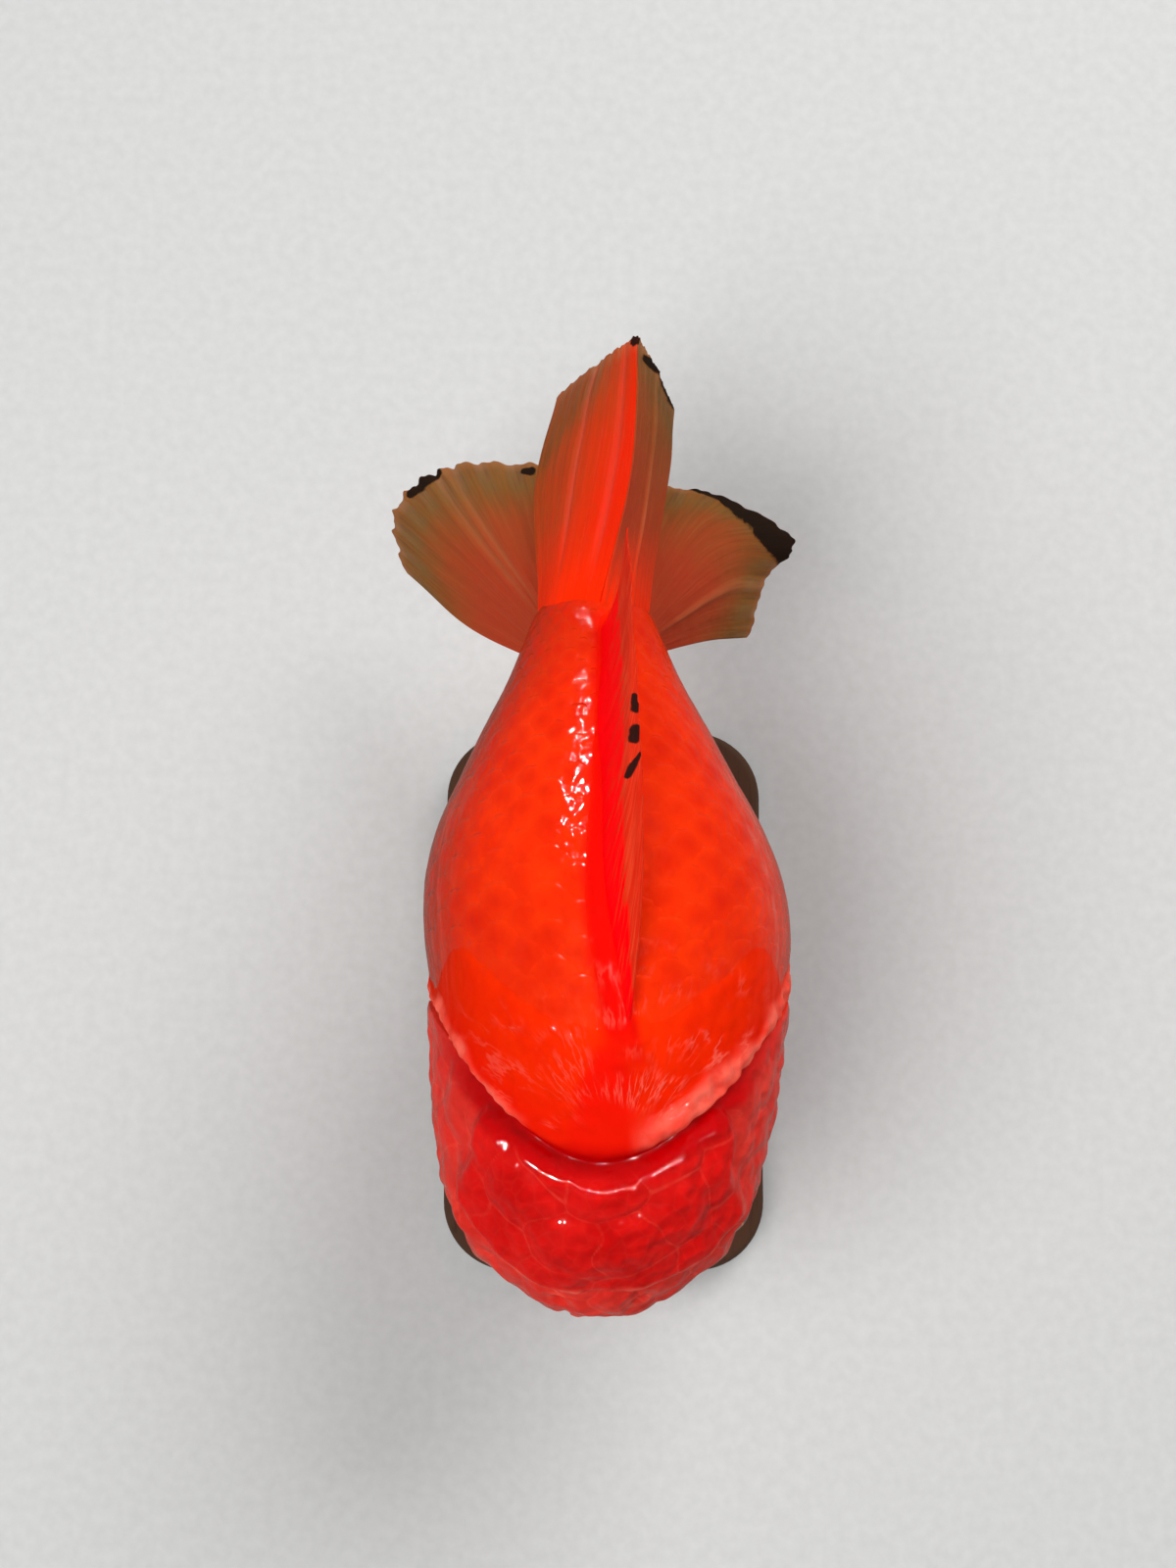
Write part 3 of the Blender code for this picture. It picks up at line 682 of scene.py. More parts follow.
# %% Move the skin out by its marks
FOLD_UP, FOLD_DOWN, HOLE_DEPTH, PIT_DEPTH, PIT_RIM = 0.5, 0.6, 1.6, 1.1, 0.3
GROOVE_DEPTH, LIP_RISE, RIM_RISE, SLIT_DEPTH = 1.2, 0.8, 0.5, 0.9
CREASE_RISE, FLESH_UNEVEN, CROWN_UNEVEN, FAN_UNEVEN = 0.14, 0.10, 0.045, 0.04
BAND_RISE, BAND_UNEVEN = 0.5, 0.35

relief = flesh_cover * bare * (LOBE_HEIGHT * lobes + CROWN_RISE * crown)
relief += flesh_cover * bare * crown * CROWN_UNEVEN * ripple(plain, 2.0, 8)
relief += FOLD_UP * fold_line - FOLD_DOWN * fold_ditch + BROW_RISE * brow
relief += on_head * (eye_rim + PIT_RIM * nostril_rim) - HOLE_DEPTH * eye_hole - PIT_DEPTH * nostril_pit
relief += LIP_RISE * hump - GROOVE_DEPTH * groove + RIM_RISE * gill_rim - SLIT_DEPTH * gill_slit
relief += CREASE_RISE * fan * fan_lines
relief += FAN_UNEVEN * ripple(plain, 2.6, 9) * (band + fan) * (1 - scaled)
relief += FLESH_UNEVEN * ripple(plain, 3.2, 7) * (1 - scaled) * fading
relief += band * (BAND_RISE + BAND_UNEVEN * ripple(plain, 2.6, 71)) + FOOT_RISE * foot
relief -= SCALE_DEPTH * scaled + STALK_DIP * step(plain[..., 1], *DIP_ALONG)
print("skin moved, mm:", round(float(relief.min()), 2), "to", round(float(relief.max()), 2))

# %% The snout's push forward and the lean of the hump
SNOUT_FORWARD, SNOUT_MIDDLE, SNOUT_REACH = 1.9, (-1.3, 3.0), (14.0, 8.0)
LIP_LEAN, LEAN_PLACE, LEAN_WIDTH = 0.3, 2.4, 2.2

snout = bump_at(plain[..., 0], SNOUT_MIDDLE[0], SNOUT_REACH[0])
snout *= bump_at(plain[..., 2], SNOUT_MIDDLE[1], SNOUT_REACH[1])
snout *= step(runs, LIPS_RUN, LIPS_RUN + 3.0) * (1 - step(plain[..., 1], -55, -44))
lean = LIP_LEAN * nape * bump_at(behind, LEAN_PLACE, LEAN_WIDTH) * (1 - on_head)

skin_points = plain + outward * relief[..., None]
skin_points[..., 1] -= SNOUT_FORWARD * snout + lean
print("skin reaches forward to, mm:", round(float(skin_points[..., 1].min()), 1))

# %% [markdown]
# ## Colours
#
# The fish is one red over most of its body, from orange-red on the back to a browner red low on
# the flanks, which is painted shade, deepest on the fish's right. The fin's foot and the front of
# the hump are a purer red. The same formula colours the skin and the scales: it reads only where
# a point is in the frame. Where the two meet, both fade into one red of the hump, so the coat's
# edge doesn't show as a line.

# %% Named colours
ORANGE_RED = (0.94, 0.030, 0.001)
DEEP_RED = (0.70, 0.006, 0.001)
PURE_RED = (0.90, 0.000, 0.002)
FLANK_SHADE_RED = (0.36, 0.022, 0.005)
BELLY_RED = (0.70, 0.060, 0.014)
CRIMSON = (0.62, 0.004, 0.003)
CELL_RED = (0.50, 0.001, 0.001)
GROOVE_SHADE_RED = (0.44, 0.000, 0.001)
PALE_WALL = (0.78, 0.058, 0.036)
CORAL = (0.82, 0.115, 0.075)
HUMP_RED = (0.60, 0.010, 0.001)
INK = (0.008, 0.006, 0.005)
FIN_RED = (0.80, 0.018, 0.002)


# %% The body's colour, from place alone
FLANK_SHADE_LEVEL, FLANK_SHADE_SPAN, BELLY_LEVEL, STREAK_LEVEL = 20.0, 14.0, -22.0, 13.0


def body_colour(recipe, position):
    """Orange-red above, painted shade of browner red low on the flanks, coral streaks with painted sheen on
    the fish's left, and warmer under the belly.
    """
    across, along, height = (recipe.part(position, k) / MM for k in range(3))
    up = height - AXIS_HEIGHT + recipe.noise(position, 45.0, 3.0) * 9.0 - 4.5
    mottle = recipe.noise(position, 190.0, 3.0, 0.55).between(0.40, 0.64)
    top = recipe.blend(mottle * 0.38, ORANGE_RED, DEEP_RED)
    left = across.between(-12.0, 12.0)
    # Painted shade: low on the flanks the red turns browner, less so on the fish's left, the lit side.
    low = (up - 6.0 * (1 - left)).between(FLANK_SHADE_LEVEL, FLANK_SHADE_LEVEL - FLANK_SHADE_SPAN)
    shaded_flank = recipe.blend(low * (1 - left * 0.45), top, FLANK_SHADE_RED)
    lines = recipe.grain(position, (420.0, 46.0, 420.0))
    window = up.bell(STREAK_LEVEL, 6.0) * along.between(-24.0, -8.0) * along.between(50.0, 30.0)
    # Coral streaks of the skin's pale film; the extra coral on the fish's left is painted sheen of the lit
    # flank.
    streaks = 0.10 + left * 0.30 + lines.between(0.46, 0.60) * (0.35 + left * 0.25)
    shaded_flank = recipe.blend(streaks * window, shaded_flank, CORAL)
    warm = recipe.blend(up.between(BELLY_LEVEL + 8.0, BELLY_LEVEL - 12.0), shaded_flank, BELLY_RED)
    return recipe.blend(along.between(54.0, 69.0) * 0.2, warm, FIN_RED)


def crease_lines(recipe, position):
    """Fine creases that run out from the groove's middle: noise of the angle, slow in reach."""
    across, along = (recipe.part(position, k) / MM - FAN_PLACE[k] for k in (0, 1))
    reach = (across * across + along * along) ** 0.5
    sockets = {0: across.maths("ARCTAN2", across, along) * 11.0, 1: reach * 0.12}
    polar = recipe.make("ShaderNodeCombineXYZ", {}, sockets)
    broken = recipe.noise(position, 170.0, 2.0).between(0.42, 0.60)
    return recipe.noise(polar, 1.0, 3.0, 0.6).bell(0.52, 0.035) * broken


# %% The skin's material
def skin_material():
    """The body's red behind, and on the hood crimson cells parted by pale walls, under a clear coat."""
    recipe = Recipe(
        "skin",
        subsurface_weight=0.18,
        subsurface_scale=0.0025,
        specular_ior_level=0.0,
        coat_roughness=0.06,
        coat_ior=1.35,
    )
    position = recipe.place()
    body = body_colour(recipe, position)
    body = recipe.blend(recipe.painted("pure"), body, PURE_RED)
    body = recipe.blend(0.70 - recipe.painted("grown") * 0.35, body, HUMP_RED)
    creases = crease_lines(recipe, position) * recipe.painted("fan")
    # The creases' pale coral is partly their own paler skin and partly a painted glint on the wet folds.
    body = recipe.blend(creases * 0.7, body, CORAL)
    film = recipe.noise(position, 170.0, 4.0, 0.6).between(0.40, 0.62)
    body = recipe.blend(recipe.painted("band") * (0.40 + 0.60 * film), body, CORAL)

    gap = recipe.painted("wall_gap") + recipe.noise(position, 420.0, 3.0) * 0.6 - 0.3
    wall = gap.between(0.55, 0.05)
    inner = recipe.from_cell_edge(position, 330.0).between(0.10, 0.0)
    patches = recipe.noise(position, 120.0, 3.0, 0.6).between(0.36, 0.60)
    glaze = recipe.noise(position, 75.0, 4.0, 0.6).between(0.48, 0.68)
    cheek = recipe.painted("cheek")
    flesh = recipe.blend(patches, CELL_RED, CRIMSON)
    pale = recipe.blend(cheek * 0.30 + glaze * (0.05 + cheek * 0.35), flesh, PALE_WALL)
    uneven_wall = recipe.noise(position, 150.0, 3.0, 0.6).between(0.34, 0.62) * 0.7 + 0.3
    pale = recipe.blend(wall * uneven_wall * (0.42 + cheek * 0.30) + inner * 0.06, pale, PALE_WALL)
    broken = recipe.noise(position, 190.0, 3.0, 0.6).between(0.36, 0.56)
    pale = recipe.blend(recipe.painted("fold_line") * broken, pale, CORAL)
    colour = recipe.blend(recipe.painted("hood"), body, pale)
    # Painted shade: the groove before the hump and the gill slit are darkened to a deep red.
    colour = recipe.blend(recipe.painted("groove"), colour, GROOVE_SHADE_RED)

    dimples = recipe.noise(position, 480.0, 0.0) * (0.4 + 0.6 * recipe.painted("hood"))
    normal = recipe.bump(dimples + creases * 0.08, 0.0009, 0.9)
    wet = recipe.painted("hood") * 0.95 + creases * 0.2 + recipe.painted("band") * film * 0.2
    return recipe.finish(base_color=colour, roughness=0.4, coat_weight=wet, normal=normal)


SKIN = skin_material()

# %% The wedge of purer red over the hump
WEDGE_ALONG, WEDGE_MIDDLE, WEDGE_HALF = (-28.0, -11.0), (-1.5, 1.2), (6.8, 2.6)

wedge_middle = np.interp(plain[..., 1], WEDGE_ALONG, WEDGE_MIDDLE)
wedge_half = np.interp(plain[..., 1], WEDGE_ALONG, WEDGE_HALF)
past_wedge = np.abs(plain[..., 0] - wedge_middle) + 0.6 * ripple(plain, 4.0, 51) - wedge_half


def pure_band(points):
    """1 from the back fin's foot to its crest, fading out over a millimetre or two."""
    beside = beside_foot(points)
    return step(beside, -2.2, 0.2) * (1 - step(beside, 3.5, 5.5)) * foot_ends(points)


pure = (1 - step(past_wedge, -2.4, 2.0)) * nape * (1 - on_head) * (1 - step(behind, 15, 30))
pure = np.maximum(np.maximum(pure, 0.8 * nape * (1 - step(behind, 2, 11))), pure_band(plain))
print("share of the skin in the purer red:", round(float((pure > 0.5).mean()), 3))

# %% Build the skin
STALK_DOME, STALK_SLOPE, DOME_ROWS = 5.0, 0.2, 9
FLESH = ("head", "hood_crown", "gill_cover_left", "gill_cover_right", "torso", "tail_stalk")

end_along, end_level = BODY[-1][0], BODY[-1][4]
end_middle = np.array([float(bend_at(end_along)), end_along, end_level])
dome_turn = np.linspace(0, math.pi / 2, DOME_ROWS + 2)[1:-1, None, None]
way_out = STALK_DOME * np.sin(dome_turn) * np.array([0, 1, STALK_SLOPE])
closing = (skin_points[-1] - end_middle) * np.cos(dome_turn) + end_middle + way_out
rows = np.concatenate([skin_points, closing])
mouth = (float(bend_at(LIPS[0][0])), LIPS[0][0], MOUTH_UP)
tail_end = end_middle + STALK_DOME * np.array([0, 1, STALK_SLOPE])
points = np.concatenate([rows.reshape(-1, 3), [mouth, tail_end]])

skin = add_mesh("body_skin", to_model(points), tube_faces(len(rows), SKIN_SIDES), SKIN)
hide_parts(*FLESH)


def paint_skin(name, values):
    """Gives the skin a mark, and the closing rings and two end points the nearest value."""
    values = np.broadcast_to(values, runs.shape)
    closed = np.tile(values[-1], DOME_ROWS)
    paint(skin, name, np.concatenate([values.ravel(), closed, [values[0, 0], values[-1, 0]]]))


# Where painted shade darkens the groove: a little ahead of the head's edge and behind it, widest in the
# middle.
from_middle = np.abs(plain[..., 0] + 1.0)
groove_shade_ahead = 0.8 + 0.14 * from_middle
groove_shade_behind = 1.6 + 3.0 * (1 - step(from_middle, 3, 11))
groove_shade_mark = on_head * (1 - step(ahead, groove_shade_ahead, groove_shade_ahead + 3.0))
groove_shade_mark += (1 - on_head) * (1 - step(behind, 0.2, groove_shade_behind))
hood = step(ahead, -0.4, 0.8) * step(plain[..., 2] + 3 * ripple(plain, 14.0, 61), -34, -20)
marks = {
    "hood": hood,
    "cheek": 1 - step(crown_inside, -2.0, 1.0),
    "wall_gap": wall_gap,
    "fold_line": np.clip(fold_line + nostril_rim * 0.3, 0, 1),
    # The groove mark is painted shade, in the groove over the nape and in the gill slit.
    "groove": np.clip(nape * groove_shade_mark + 0.8 * gill_slit, 0, 1),
    "pure": pure,
    "grown": step(behind - SCALES_BEHIND_NAPE, *GROWN_BEHIND),
    "fan": fan,
    "band": band,
}
for name, values in marks.items():
    paint_skin(name, values)
print("skin triangles:", 2 * len(skin.data.polygons))

# %% [markdown]
# ## Scales
#
# Goldfish scales are round plates in staggered rows, each lying over the roots of those behind
# it. They could be a bump pattern, but plates of mesh catch the light at their edges from any
# side. One scale is a disc in its own two measures, out from the middle and round, and it is
# laid on the body by turning both into a run and a turn. All of them are worked out at once.

# %% Scale measures
COLUMNS = 42
ALONG_PITCH = [(0.0, 6.3), (38.0, 6.2), (55.0, 4.6), (70.0, 3.2)]
SCALE_HALF_WIDTH, SCALE_HALF_LENGTH = 1.15, 0.95
SCALE_RINGS = np.array([0.5, 0.86, 1.0])
SCALE_SECTORS = 18
SCALE_TILT, SCALE_DOME, SCALE_THICK, SCALE_RIM_DROP = 0.13, 0.13, 0.08, 0.04
SCALE_BASE = -0.27
COAT_FROM, COAT_TO_END = -34.0, 2.5
print("scales round the body:", COLUMNS)

# %% Places of the scales
def scale_rows(shift):
    """Runs one pitch apart, where the pitch shrinks towards the tail."""
    known, pitch = np.array(ALONG_PITCH).T
    found = [run_at(COAT_FROM) + shift * pitch[0]]
    while found[-1] < END_RUN - COAT_TO_END:
        along = np.interp(found[-1], FINE_RUNS, FINE_ALONG)
        found.append(found[-1] + np.interp(along, known, pitch))
    return np.array(found)


places = []
for column in range(COLUMNS):
    turn = (column + 0.5) / COLUMNS * 2 * math.pi
    for run in scale_rows(0.5 * (column % 2)):
        places.append((run, turn))
places = np.array(places)
root_nape = step(np.sin(places[:, 1]), *NAPE_SINES)
places = places[places[:, 0] - head_edge(places[:, 1]) > scales_start(root_nape)]
print("scales:", len(places))


# %% One scale laid at each place
SIZE_SPREAD, TWIST_SPREAD, LIFT_SPREAD = (0.95, 1.05), 0.05, 0.004


def scale_grids(places):
    """Each disc's point is at a run and turn beside its place, raised to a tilted, domed plate."""
    chance = np.random.default_rng(12)
    count = len(places)
    size = chance.uniform(*SIZE_SPREAD, (count, 1, 1))
    twist = chance.normal(0, TWIST_SPREAD, (count, 1, 1))
    lift = chance.normal(0, LIFT_SPREAD, (count, 1, 1))
    angle = np.arange(SCALE_SECTORS) / SCALE_SECTORS * 2 * math.pi + twist
    radius = np.concatenate([[0.0], SCALE_RINGS, [1.0, 0.0]])[:, None]
    side, back = radius * np.sin(angle) * size, radius * np.cos(angle) * size

    run, turn = places[:, 0, None, None], places[:, 1, None, None]
    pitch = np.interp(np.interp(run, FINE_RUNS, FINE_ALONG), *np.array(ALONG_PITCH).T)
    at_run = np.minimum(run + back * SCALE_HALF_LENGTH * pitch, END_RUN)
    at_turn = turn + side * SCALE_HALF_WIDTH * 2 * math.pi / COLUMNS
    surface = body_point(at_run, at_turn)
    along = surface - body_point(at_run - 0.3, at_turn)
    around = body_point(at_run, at_turn + 0.01) - surface
    out = np.cross(along, around)
    out /= np.linalg.norm(out, axis=-1, keepdims=True)

    height = SCALE_BASE + lift + SCALE_TILT * back + SCALE_DOME * (1 - radius**2)
    height[:, -3] -= SCALE_RIM_DROP
    height[:, -2:] -= SCALE_THICK
    height -= STALK_DIP * step(surface[..., 1], *DIP_ALONG)
    return surface + out * height[..., None], side, back


def one_per_point(grid):
    """Keeps each ring of each disc, and one point for its middle and one for its underside."""
    rings = grid[:, 1:-1].reshape(len(grid), -1, *grid.shape[3:])
    return np.concatenate([grid[:, 0, :1], rings, grid[:, -1, :1]], axis=1)


def scale_faces(count):
    """Fans at the middle and underside, and quads between the rings and over the rim."""
    rings = len(SCALE_RINGS) + 1
    each = 2 + rings * SCALE_SECTORS
    j = np.arange(SCALE_SECTORS)
    k = (j + 1) % SCALE_SECTORS
    low = 1 + (rings - 1) * SCALE_SECTORS
    top = np.stack([0 * j, 1 + j, 1 + k], -1)
    under = np.stack([low + j, 0 * j + each - 1, low + k], -1)
    inner = 1 + SCALE_SECTORS * np.arange(rings - 1)[:, None]
    outer = inner + SCALE_SECTORS
    walls = np.stack([inner + j, outer + j, outer + k, inner + k], -1).reshape(-1, 4)
    starts = (np.arange(count) * each)[:, None, None]
    triangles = (np.concatenate([top, under])[None] + starts).reshape(-1, 3)
    quads = (walls[None] + starts).reshape(-1, 4)
    return quads, triangles


# %% The scales' material
SPOT_RED, RIM_HIGHLIGHT_ORANGE = (0.66, 0.010, 0.001), (0.95, 0.060, 0.002)


def scale_material():
    """The body's colour, with a darker spot on each scale and a painted highlight along its rim."""
    recipe = Recipe(
        "scales",
        subsurface_weight=0.15,
        subsurface_scale=0.002,
        specular_ior_level=0.14,
    )
    position = recipe.place()
    body = body_colour(recipe, position)
    across, back = (recipe.part(recipe.lie(), k) - 0.5 for k in (0, 1))
    wobble = recipe.noise(position, 380.0, 3.0) * 0.10 - 0.05
    from_spot = (across * across * 1.1 + (back - 0.23) * (back - 0.23) * 1.6) ** 0.5 + wobble
    spot = from_spot.between(0.36, 0.06) * recipe.noise(position, 70.0, 2.0).between(0.26, 0.56)
    tone = recipe.painted("tone")
    body = recipe.blend(spot * (0.40 + tone * 0.35) * recipe.painted("grown"), body, SPOT_RED)
    radius = (across * across + back * back) ** 0.5
    # Painted highlight: a paler orange along each scale's rim.
    rim = radius.between(0.38, 0.49)
    body = recipe.blend(rim * 0.10, body, RIM_HIGHLIGHT_ORANGE)
    body = recipe.blend(tone * 0.10, body, DEEP_RED)
    body = recipe.blend(recipe.painted("pure"), body, PURE_RED)
    body = recipe.blend(0.35 - recipe.painted("grown") * 0.35, body, HUMP_RED)
    # The creases' pale coral is partly their own paler skin and partly a painted glint on the wet folds.
    body = recipe.blend(crease_lines(recipe, position) * recipe.painted("fan") * 0.4, body, CORAL)
    rings = (radius * 90.0 + recipe.noise(position, 200.0) * 4.0).maths("SINE")
    normal = recipe.bump(rings * 0.02 + recipe.noise(position, 620.0, 0.0), 0.0003, 0.8)
    return recipe.finish(base_color=body, roughness=0.08, normal=normal)


SCALES = scale_material()

# %% Build the two coats of scales
PATCH_HALF = 0.0015

coats = []
for word, chosen in (("left", np.cos(places[:, 1]) > 0), ("right", np.cos(places[:, 1]) <= 0)):
    some = places[chosen]
    grid, side, back = scale_grids(some)
    points = one_per_point(grid)
    coat = add_mesh(f"scales_{word}", to_model(points.reshape(-1, 3)), scale_faces(len(some)),
                    SCALES)
    local = np.stack([one_per_point(side), one_per_point(back)], axis=-1).reshape(-1, 2)
    unwrap(coat, "lie", 0.5 + 0.5 * local)
    each = points.shape[1]
    root = np.repeat(some / (END_RUN, 2 * math.pi), each, axis=0)[:, ::-1]
    unwrap(coat, "OFBake", root + PATCH_HALF * local)
    tone = np.random.default_rng(3).uniform(0, 1, len(some))
    paint(coat, "tone", np.repeat(tone, each))
    from_start = some[:, 0] - head_edge(some[:, 1]) - SCALES_BEHIND_NAPE
    paint(coat, "grown", np.repeat(step(from_start, *GROWN_BEHIND), each))
    paint(coat, "pure", pure_band(points).ravel())
    paint(coat, "fan", fan_mark(points)[1].ravel())
    coats.append(coat)
    print(coat.name, "triangles:", len(coat.data.loops) - 2 * len(coat.data.polygons))

# %% [markdown]
# ## Fins
#
# A fin is a membrane held by soft rays that branch towards the margin. Each one here is a sheet
# through three guide lines, its root, its middle and its margin, so it can fold over as the back
# fin does. Rays are ridges on both faces and the membrane between them is pleated. The guides
# are the same as the solids', which keeps each fin where its plain solid is.

# %% Guides of the paired fins and the back fin
FINS = {
    "dorsal_fin": dict(
        rays=15,
        relief=0.3,
        lean=0.55,
        root=[(2.0, -17, 32), (-2.8, 10, 35.4), (-1.6, 38, 30.5), (-0.8, 60, 19)],
        middle=[(4.2, -3, 39.6), (2.8, 22, 43), (3.0, 45, 37.4), (2.2, 67, 25.5)],
        margin=[(5.9, 14, 42.8), (5.8, 31, 42.2), (5.0, 50.5, 37.2), (3.7, 78.5, 27.5)],
    ),
    "pectoral_fin": dict(
        rays=9,
        root=[(25, -5, -22), (22.5, -3, -26), (19, 0, -29)],
        middle=[(30, 8, -27), (28.5, 9, -32.5), (23, 9, -37)],
        margin=[(32, 23, -31), (31, 21, -39), (25, 17, -44)],
    ),
    "pelvic_fin": dict(
        rays=7,
        root=[(9, 3, -33.5), (8, 6, -33.5), (7, 10, -33.5)],
        middle=[(14.5, 13, -44), (12.5, 17, -43.6), (9, 19, -42)],
        margin=[(17.5, 25, -51), (15.5, 28, -48.5), (10, 28, -45)],
    ),
    "anal_fin": dict(
        rays=6,
        root=[(3.6, 47, -14), (3.6, 50, -11.5), (3.4, 54, -7.5)],
        middle=[(6, 57, -24), (6, 60, -20.5), (5.4, 62, -15.5)],
        margin=[(7.6, 68, -32), (8, 71, -26), (7.2, 69.5, -20)],
    ),
}

# %% Guides of the tail's four lobes
UPPER = dict(rays=9, relief=0.4, ragged=0.35)
LOWER = dict(rays=9, fade=(1.25, 0.0, 0.0))
TAIL = {
    "tail_upper_left": dict(
        UPPER,
        folds=[0.45],
        fade=(0.7, 0.5, 0.1),
        root=[(-1.2, 66, 16.7), (4.3, 66, 13.9), (7.0, 66, 8)],
        middle=[(4.3, 88.7, 24), (8.1, 92, 16), (11.6, 93.4, 6.5)],
        margin=[(5.7, 112.5, 28), (9.6, 108, 20), (12.4, 104.6, 10)],
    ),
    "tail_upper_right": dict(
        UPPER,
        folds=[0.16, 0.52],
        fade=(0.15, 1.25, 0.40),
        root=[(-1.2, 66, 16.7), (-8.8, 66, 13.9), (-11.5, 66, 8)],
        middle=[(4.3, 88.7, 24), (-5, 92.6, 17), (-12.9, 91, 4.6)],
        margin=[(5.7, 112.5, 28), (-1.4, 110, 21), (-8.8, 107, 10)],
    ),
    "tail_lower_left": dict(
        LOWER,
        folds=[0.78],
        root=[(3.0, 67.3, 6.0), (5.8, 64.5, 3.6), (6, 60, 0.2)],
        middle=[(6.6, 83, 1.8), (17.1, 84.6, -4), (22.9, 79, -9), (18.3, 65.5, -12)],
        margin=[(9.2, 93.4, -1.5), (22.1, 93.3, -8), (36.8, 86.5, -15), (31.5, 79, -18), (28.5, 68.5, -22)],
    ),
    "tail_lower_right": dict(
        LOWER,
        folds=[0.36, 0.44],
        root=[(-7.4, 67.3, 6.0), (-10.4, 64, 3.6), (-10.2, 58.5, 0)],
        middle=[(-9.6, 84, 1.8), (-21.7, 85.5, -4), (-27.5, 81, -9), (-26, 68.4, -12)],
        margin=[
            (-10.6, 97.5, -1.5), (-26, 100.3, -9), (-35.5, 98.8, -14), (-41.8, 92, -18), (-39.5, 82, -21)
        ],
    ),
}
print("fins:", 2 * len(FINS) - 1 + len(TAIL))

# %% A fin's sheet and its rays
RAY_COLUMNS, FIN_ROWS = 16, 56
FORK_PLACES, FORK_SPREADS, FORK_END = (0.35, 0.66), (0.17, 0.08), 1.15
RAY_NOTCH, MARGIN_NOTCH, NOTCHES = 0.056, 0.012, 61.0
RAY_WIDTH, RAY_TAPER = 0.11, 0.055


def fin_sheet(shape, side):
    """The sheet's point is on the cubic from root through middle to margin at its place u."""
    u = np.linspace(0, 1, shape["rays"] * RAY_COLUMNS + 1)
    guides = []
    lean = shape.get("lean", 1.0)
    for name, power in (("root", 1.0), ("middle", (1 + lean) / 2), ("margin", lean)):
        line = np.array(shape[name], float)
        guides.append(smooth(np.linspace(0, 1, len(line)), line, u**power))
    v = np.linspace(0, 1, FIN_ROWS)[:, None] * np.ones(len(u))
    u = np.broadcast_to(u, v.shape)
    share = (u * shape["rays"]) % 1.0 - 0.5
    notch = RAY_NOTCH * np.abs(share) + MARGIN_NOTCH * np.sin(u * NOTCHES) ** 2
    reach = v * (1 - shape.get("ragged", 1.0) * notch * v**4)
    lines = np.array(guides)
    columns = np.arange(lines.shape[1])
    low = (reach > 0.5).astype(int)
    t = 2 * reach - low
    slope = np.gradient(lines, [0, 0.5, 1], axis=0) / 2
    before, after = (t * (1 - t) ** 2)[..., None], (t * t * (1 - t))[..., None]
    rise = (t * t * (3 - 2 * t))[..., None]
    sheet = lines[low, columns] * (1 - rise) + lines[low + 1, columns] * rise
    sheet += slope[low, columns] * before - slope[low + 1, columns] * after
    if side:
        sheet[..., 0] = side * sheet[..., 0] + bend_at(np.minimum(sheet[..., 1], end_along))
    return sheet, u, v, share


def ray_ridges(share, v):
    """Bells across the sheet at a ray's branches: one at the root, then two, then four."""
    first = FORK_SPREADS[0] * step(v, FORK_PLACES[0], FORK_END)
    second = FORK_SPREADS[1] * step(v, FORK_PLACES[1], FORK_END)
    width = RAY_WIDTH - RAY_TAPER * v
    ridge = np.zeros_like(v)
    for a in (-1, 1):
        for b in (-1, 1):
            ridge = np.maximum(ridge, bump_at(share, a * first + b * second, width))
    return ridge


# %% The ink marks
INK_STROKES = [
    [(4.6, 45.8, 0.5), (4.8, 43.4, 0.8)],
    [(4.8, 39.8, 0.9), (4.5, 38.2, 0.9)],
    [(5.4, 35.6, 0.3), (4.2, 33.6, 0.6), (3.4, 31.8, 0.5)],
    [(15.4, 94.0, 0.5), (22.1, 92.9, 1.2), (26.9, 90.5, 2.2), (31.7, 87.8, 2.4), (35.9, 85.5, 1.8)],
    [(29.4, 87.0, 1.2), (34.6, 83.6, 2.0), (34.9, 81.0, 0.8)],
    [(7.2, 108.8, 0.8), (10.3, 108.2, 1.1), (12.2, 105.6, 1.3)],
    [(-37.6, 95.4, 0.9), (-36.0, 96.9, 1.5), (-32.4, 98.9, 0.9)],
    [(-15.2, 96.3, 0.6), (-13.6, 96.0, 0.9)],
    [(5.5, 113.0, 0.9), (5.2, 111.2, 0.8)],
]


print("ink strokes:", len(INK_STROKES))


def ink_at(points):
    """1 along a stroke, seen from above, falling to 0 at one and a half times its radius."""
    ink = np.zeros(points.shape[:-1])
    for stroke in INK_STROKES:
        for start, end in zip(stroke, stroke[1:]):
            start, end = np.array(start), np.array(end)
            run = end[:2] - start[:2]
            share = np.clip((points[..., :2] - start[:2]) @ run / (run @ run), 0, 1)
            away = np.linalg.norm(points[..., :2] - start[:2] - share[..., None] * run, axis=-1)
            radius = start[2] + share * (end[2] - start[2])
            ink = np.maximum(ink, 1 - away / (1.5 * radius))
    return ink


# %% [markdown]
# ### The fins' material
#
# A fin is red flesh at its root and thins to an amber film at its margin. The rays stay redder
# than the film between them, and soft folds along the tail catch a paler tone. The back fin is
# folded flat: its near half is the purest red on the whole fish, and the half turned over shows
# as a pale, pink, see-through strip.

# %% Fin colours
AMBER = (0.26, 0.065, 0.012)
FILM_BROWN = (0.12, 0.040, 0.012)
FILM_PALE = (0.42, 0.16, 0.06)
ROOT_RED, PANEL_RED = (0.84, 0.022, 0.001), (0.72, 0.018, 0.002)
STRIP_RED, STRIP_PINK = (0.56, 0.018, 0.005), (0.64, 0.044, 0.014)
# The shaded fin's darker red and amber are partly the lobes' own browner colour and partly painted shade,
# for the tail's far upper lobe and its lower lobes.
SHADED_RED, SHADED_AMBER = (0.36, 0.040, 0.014), (0.19, 0.084, 0.018)


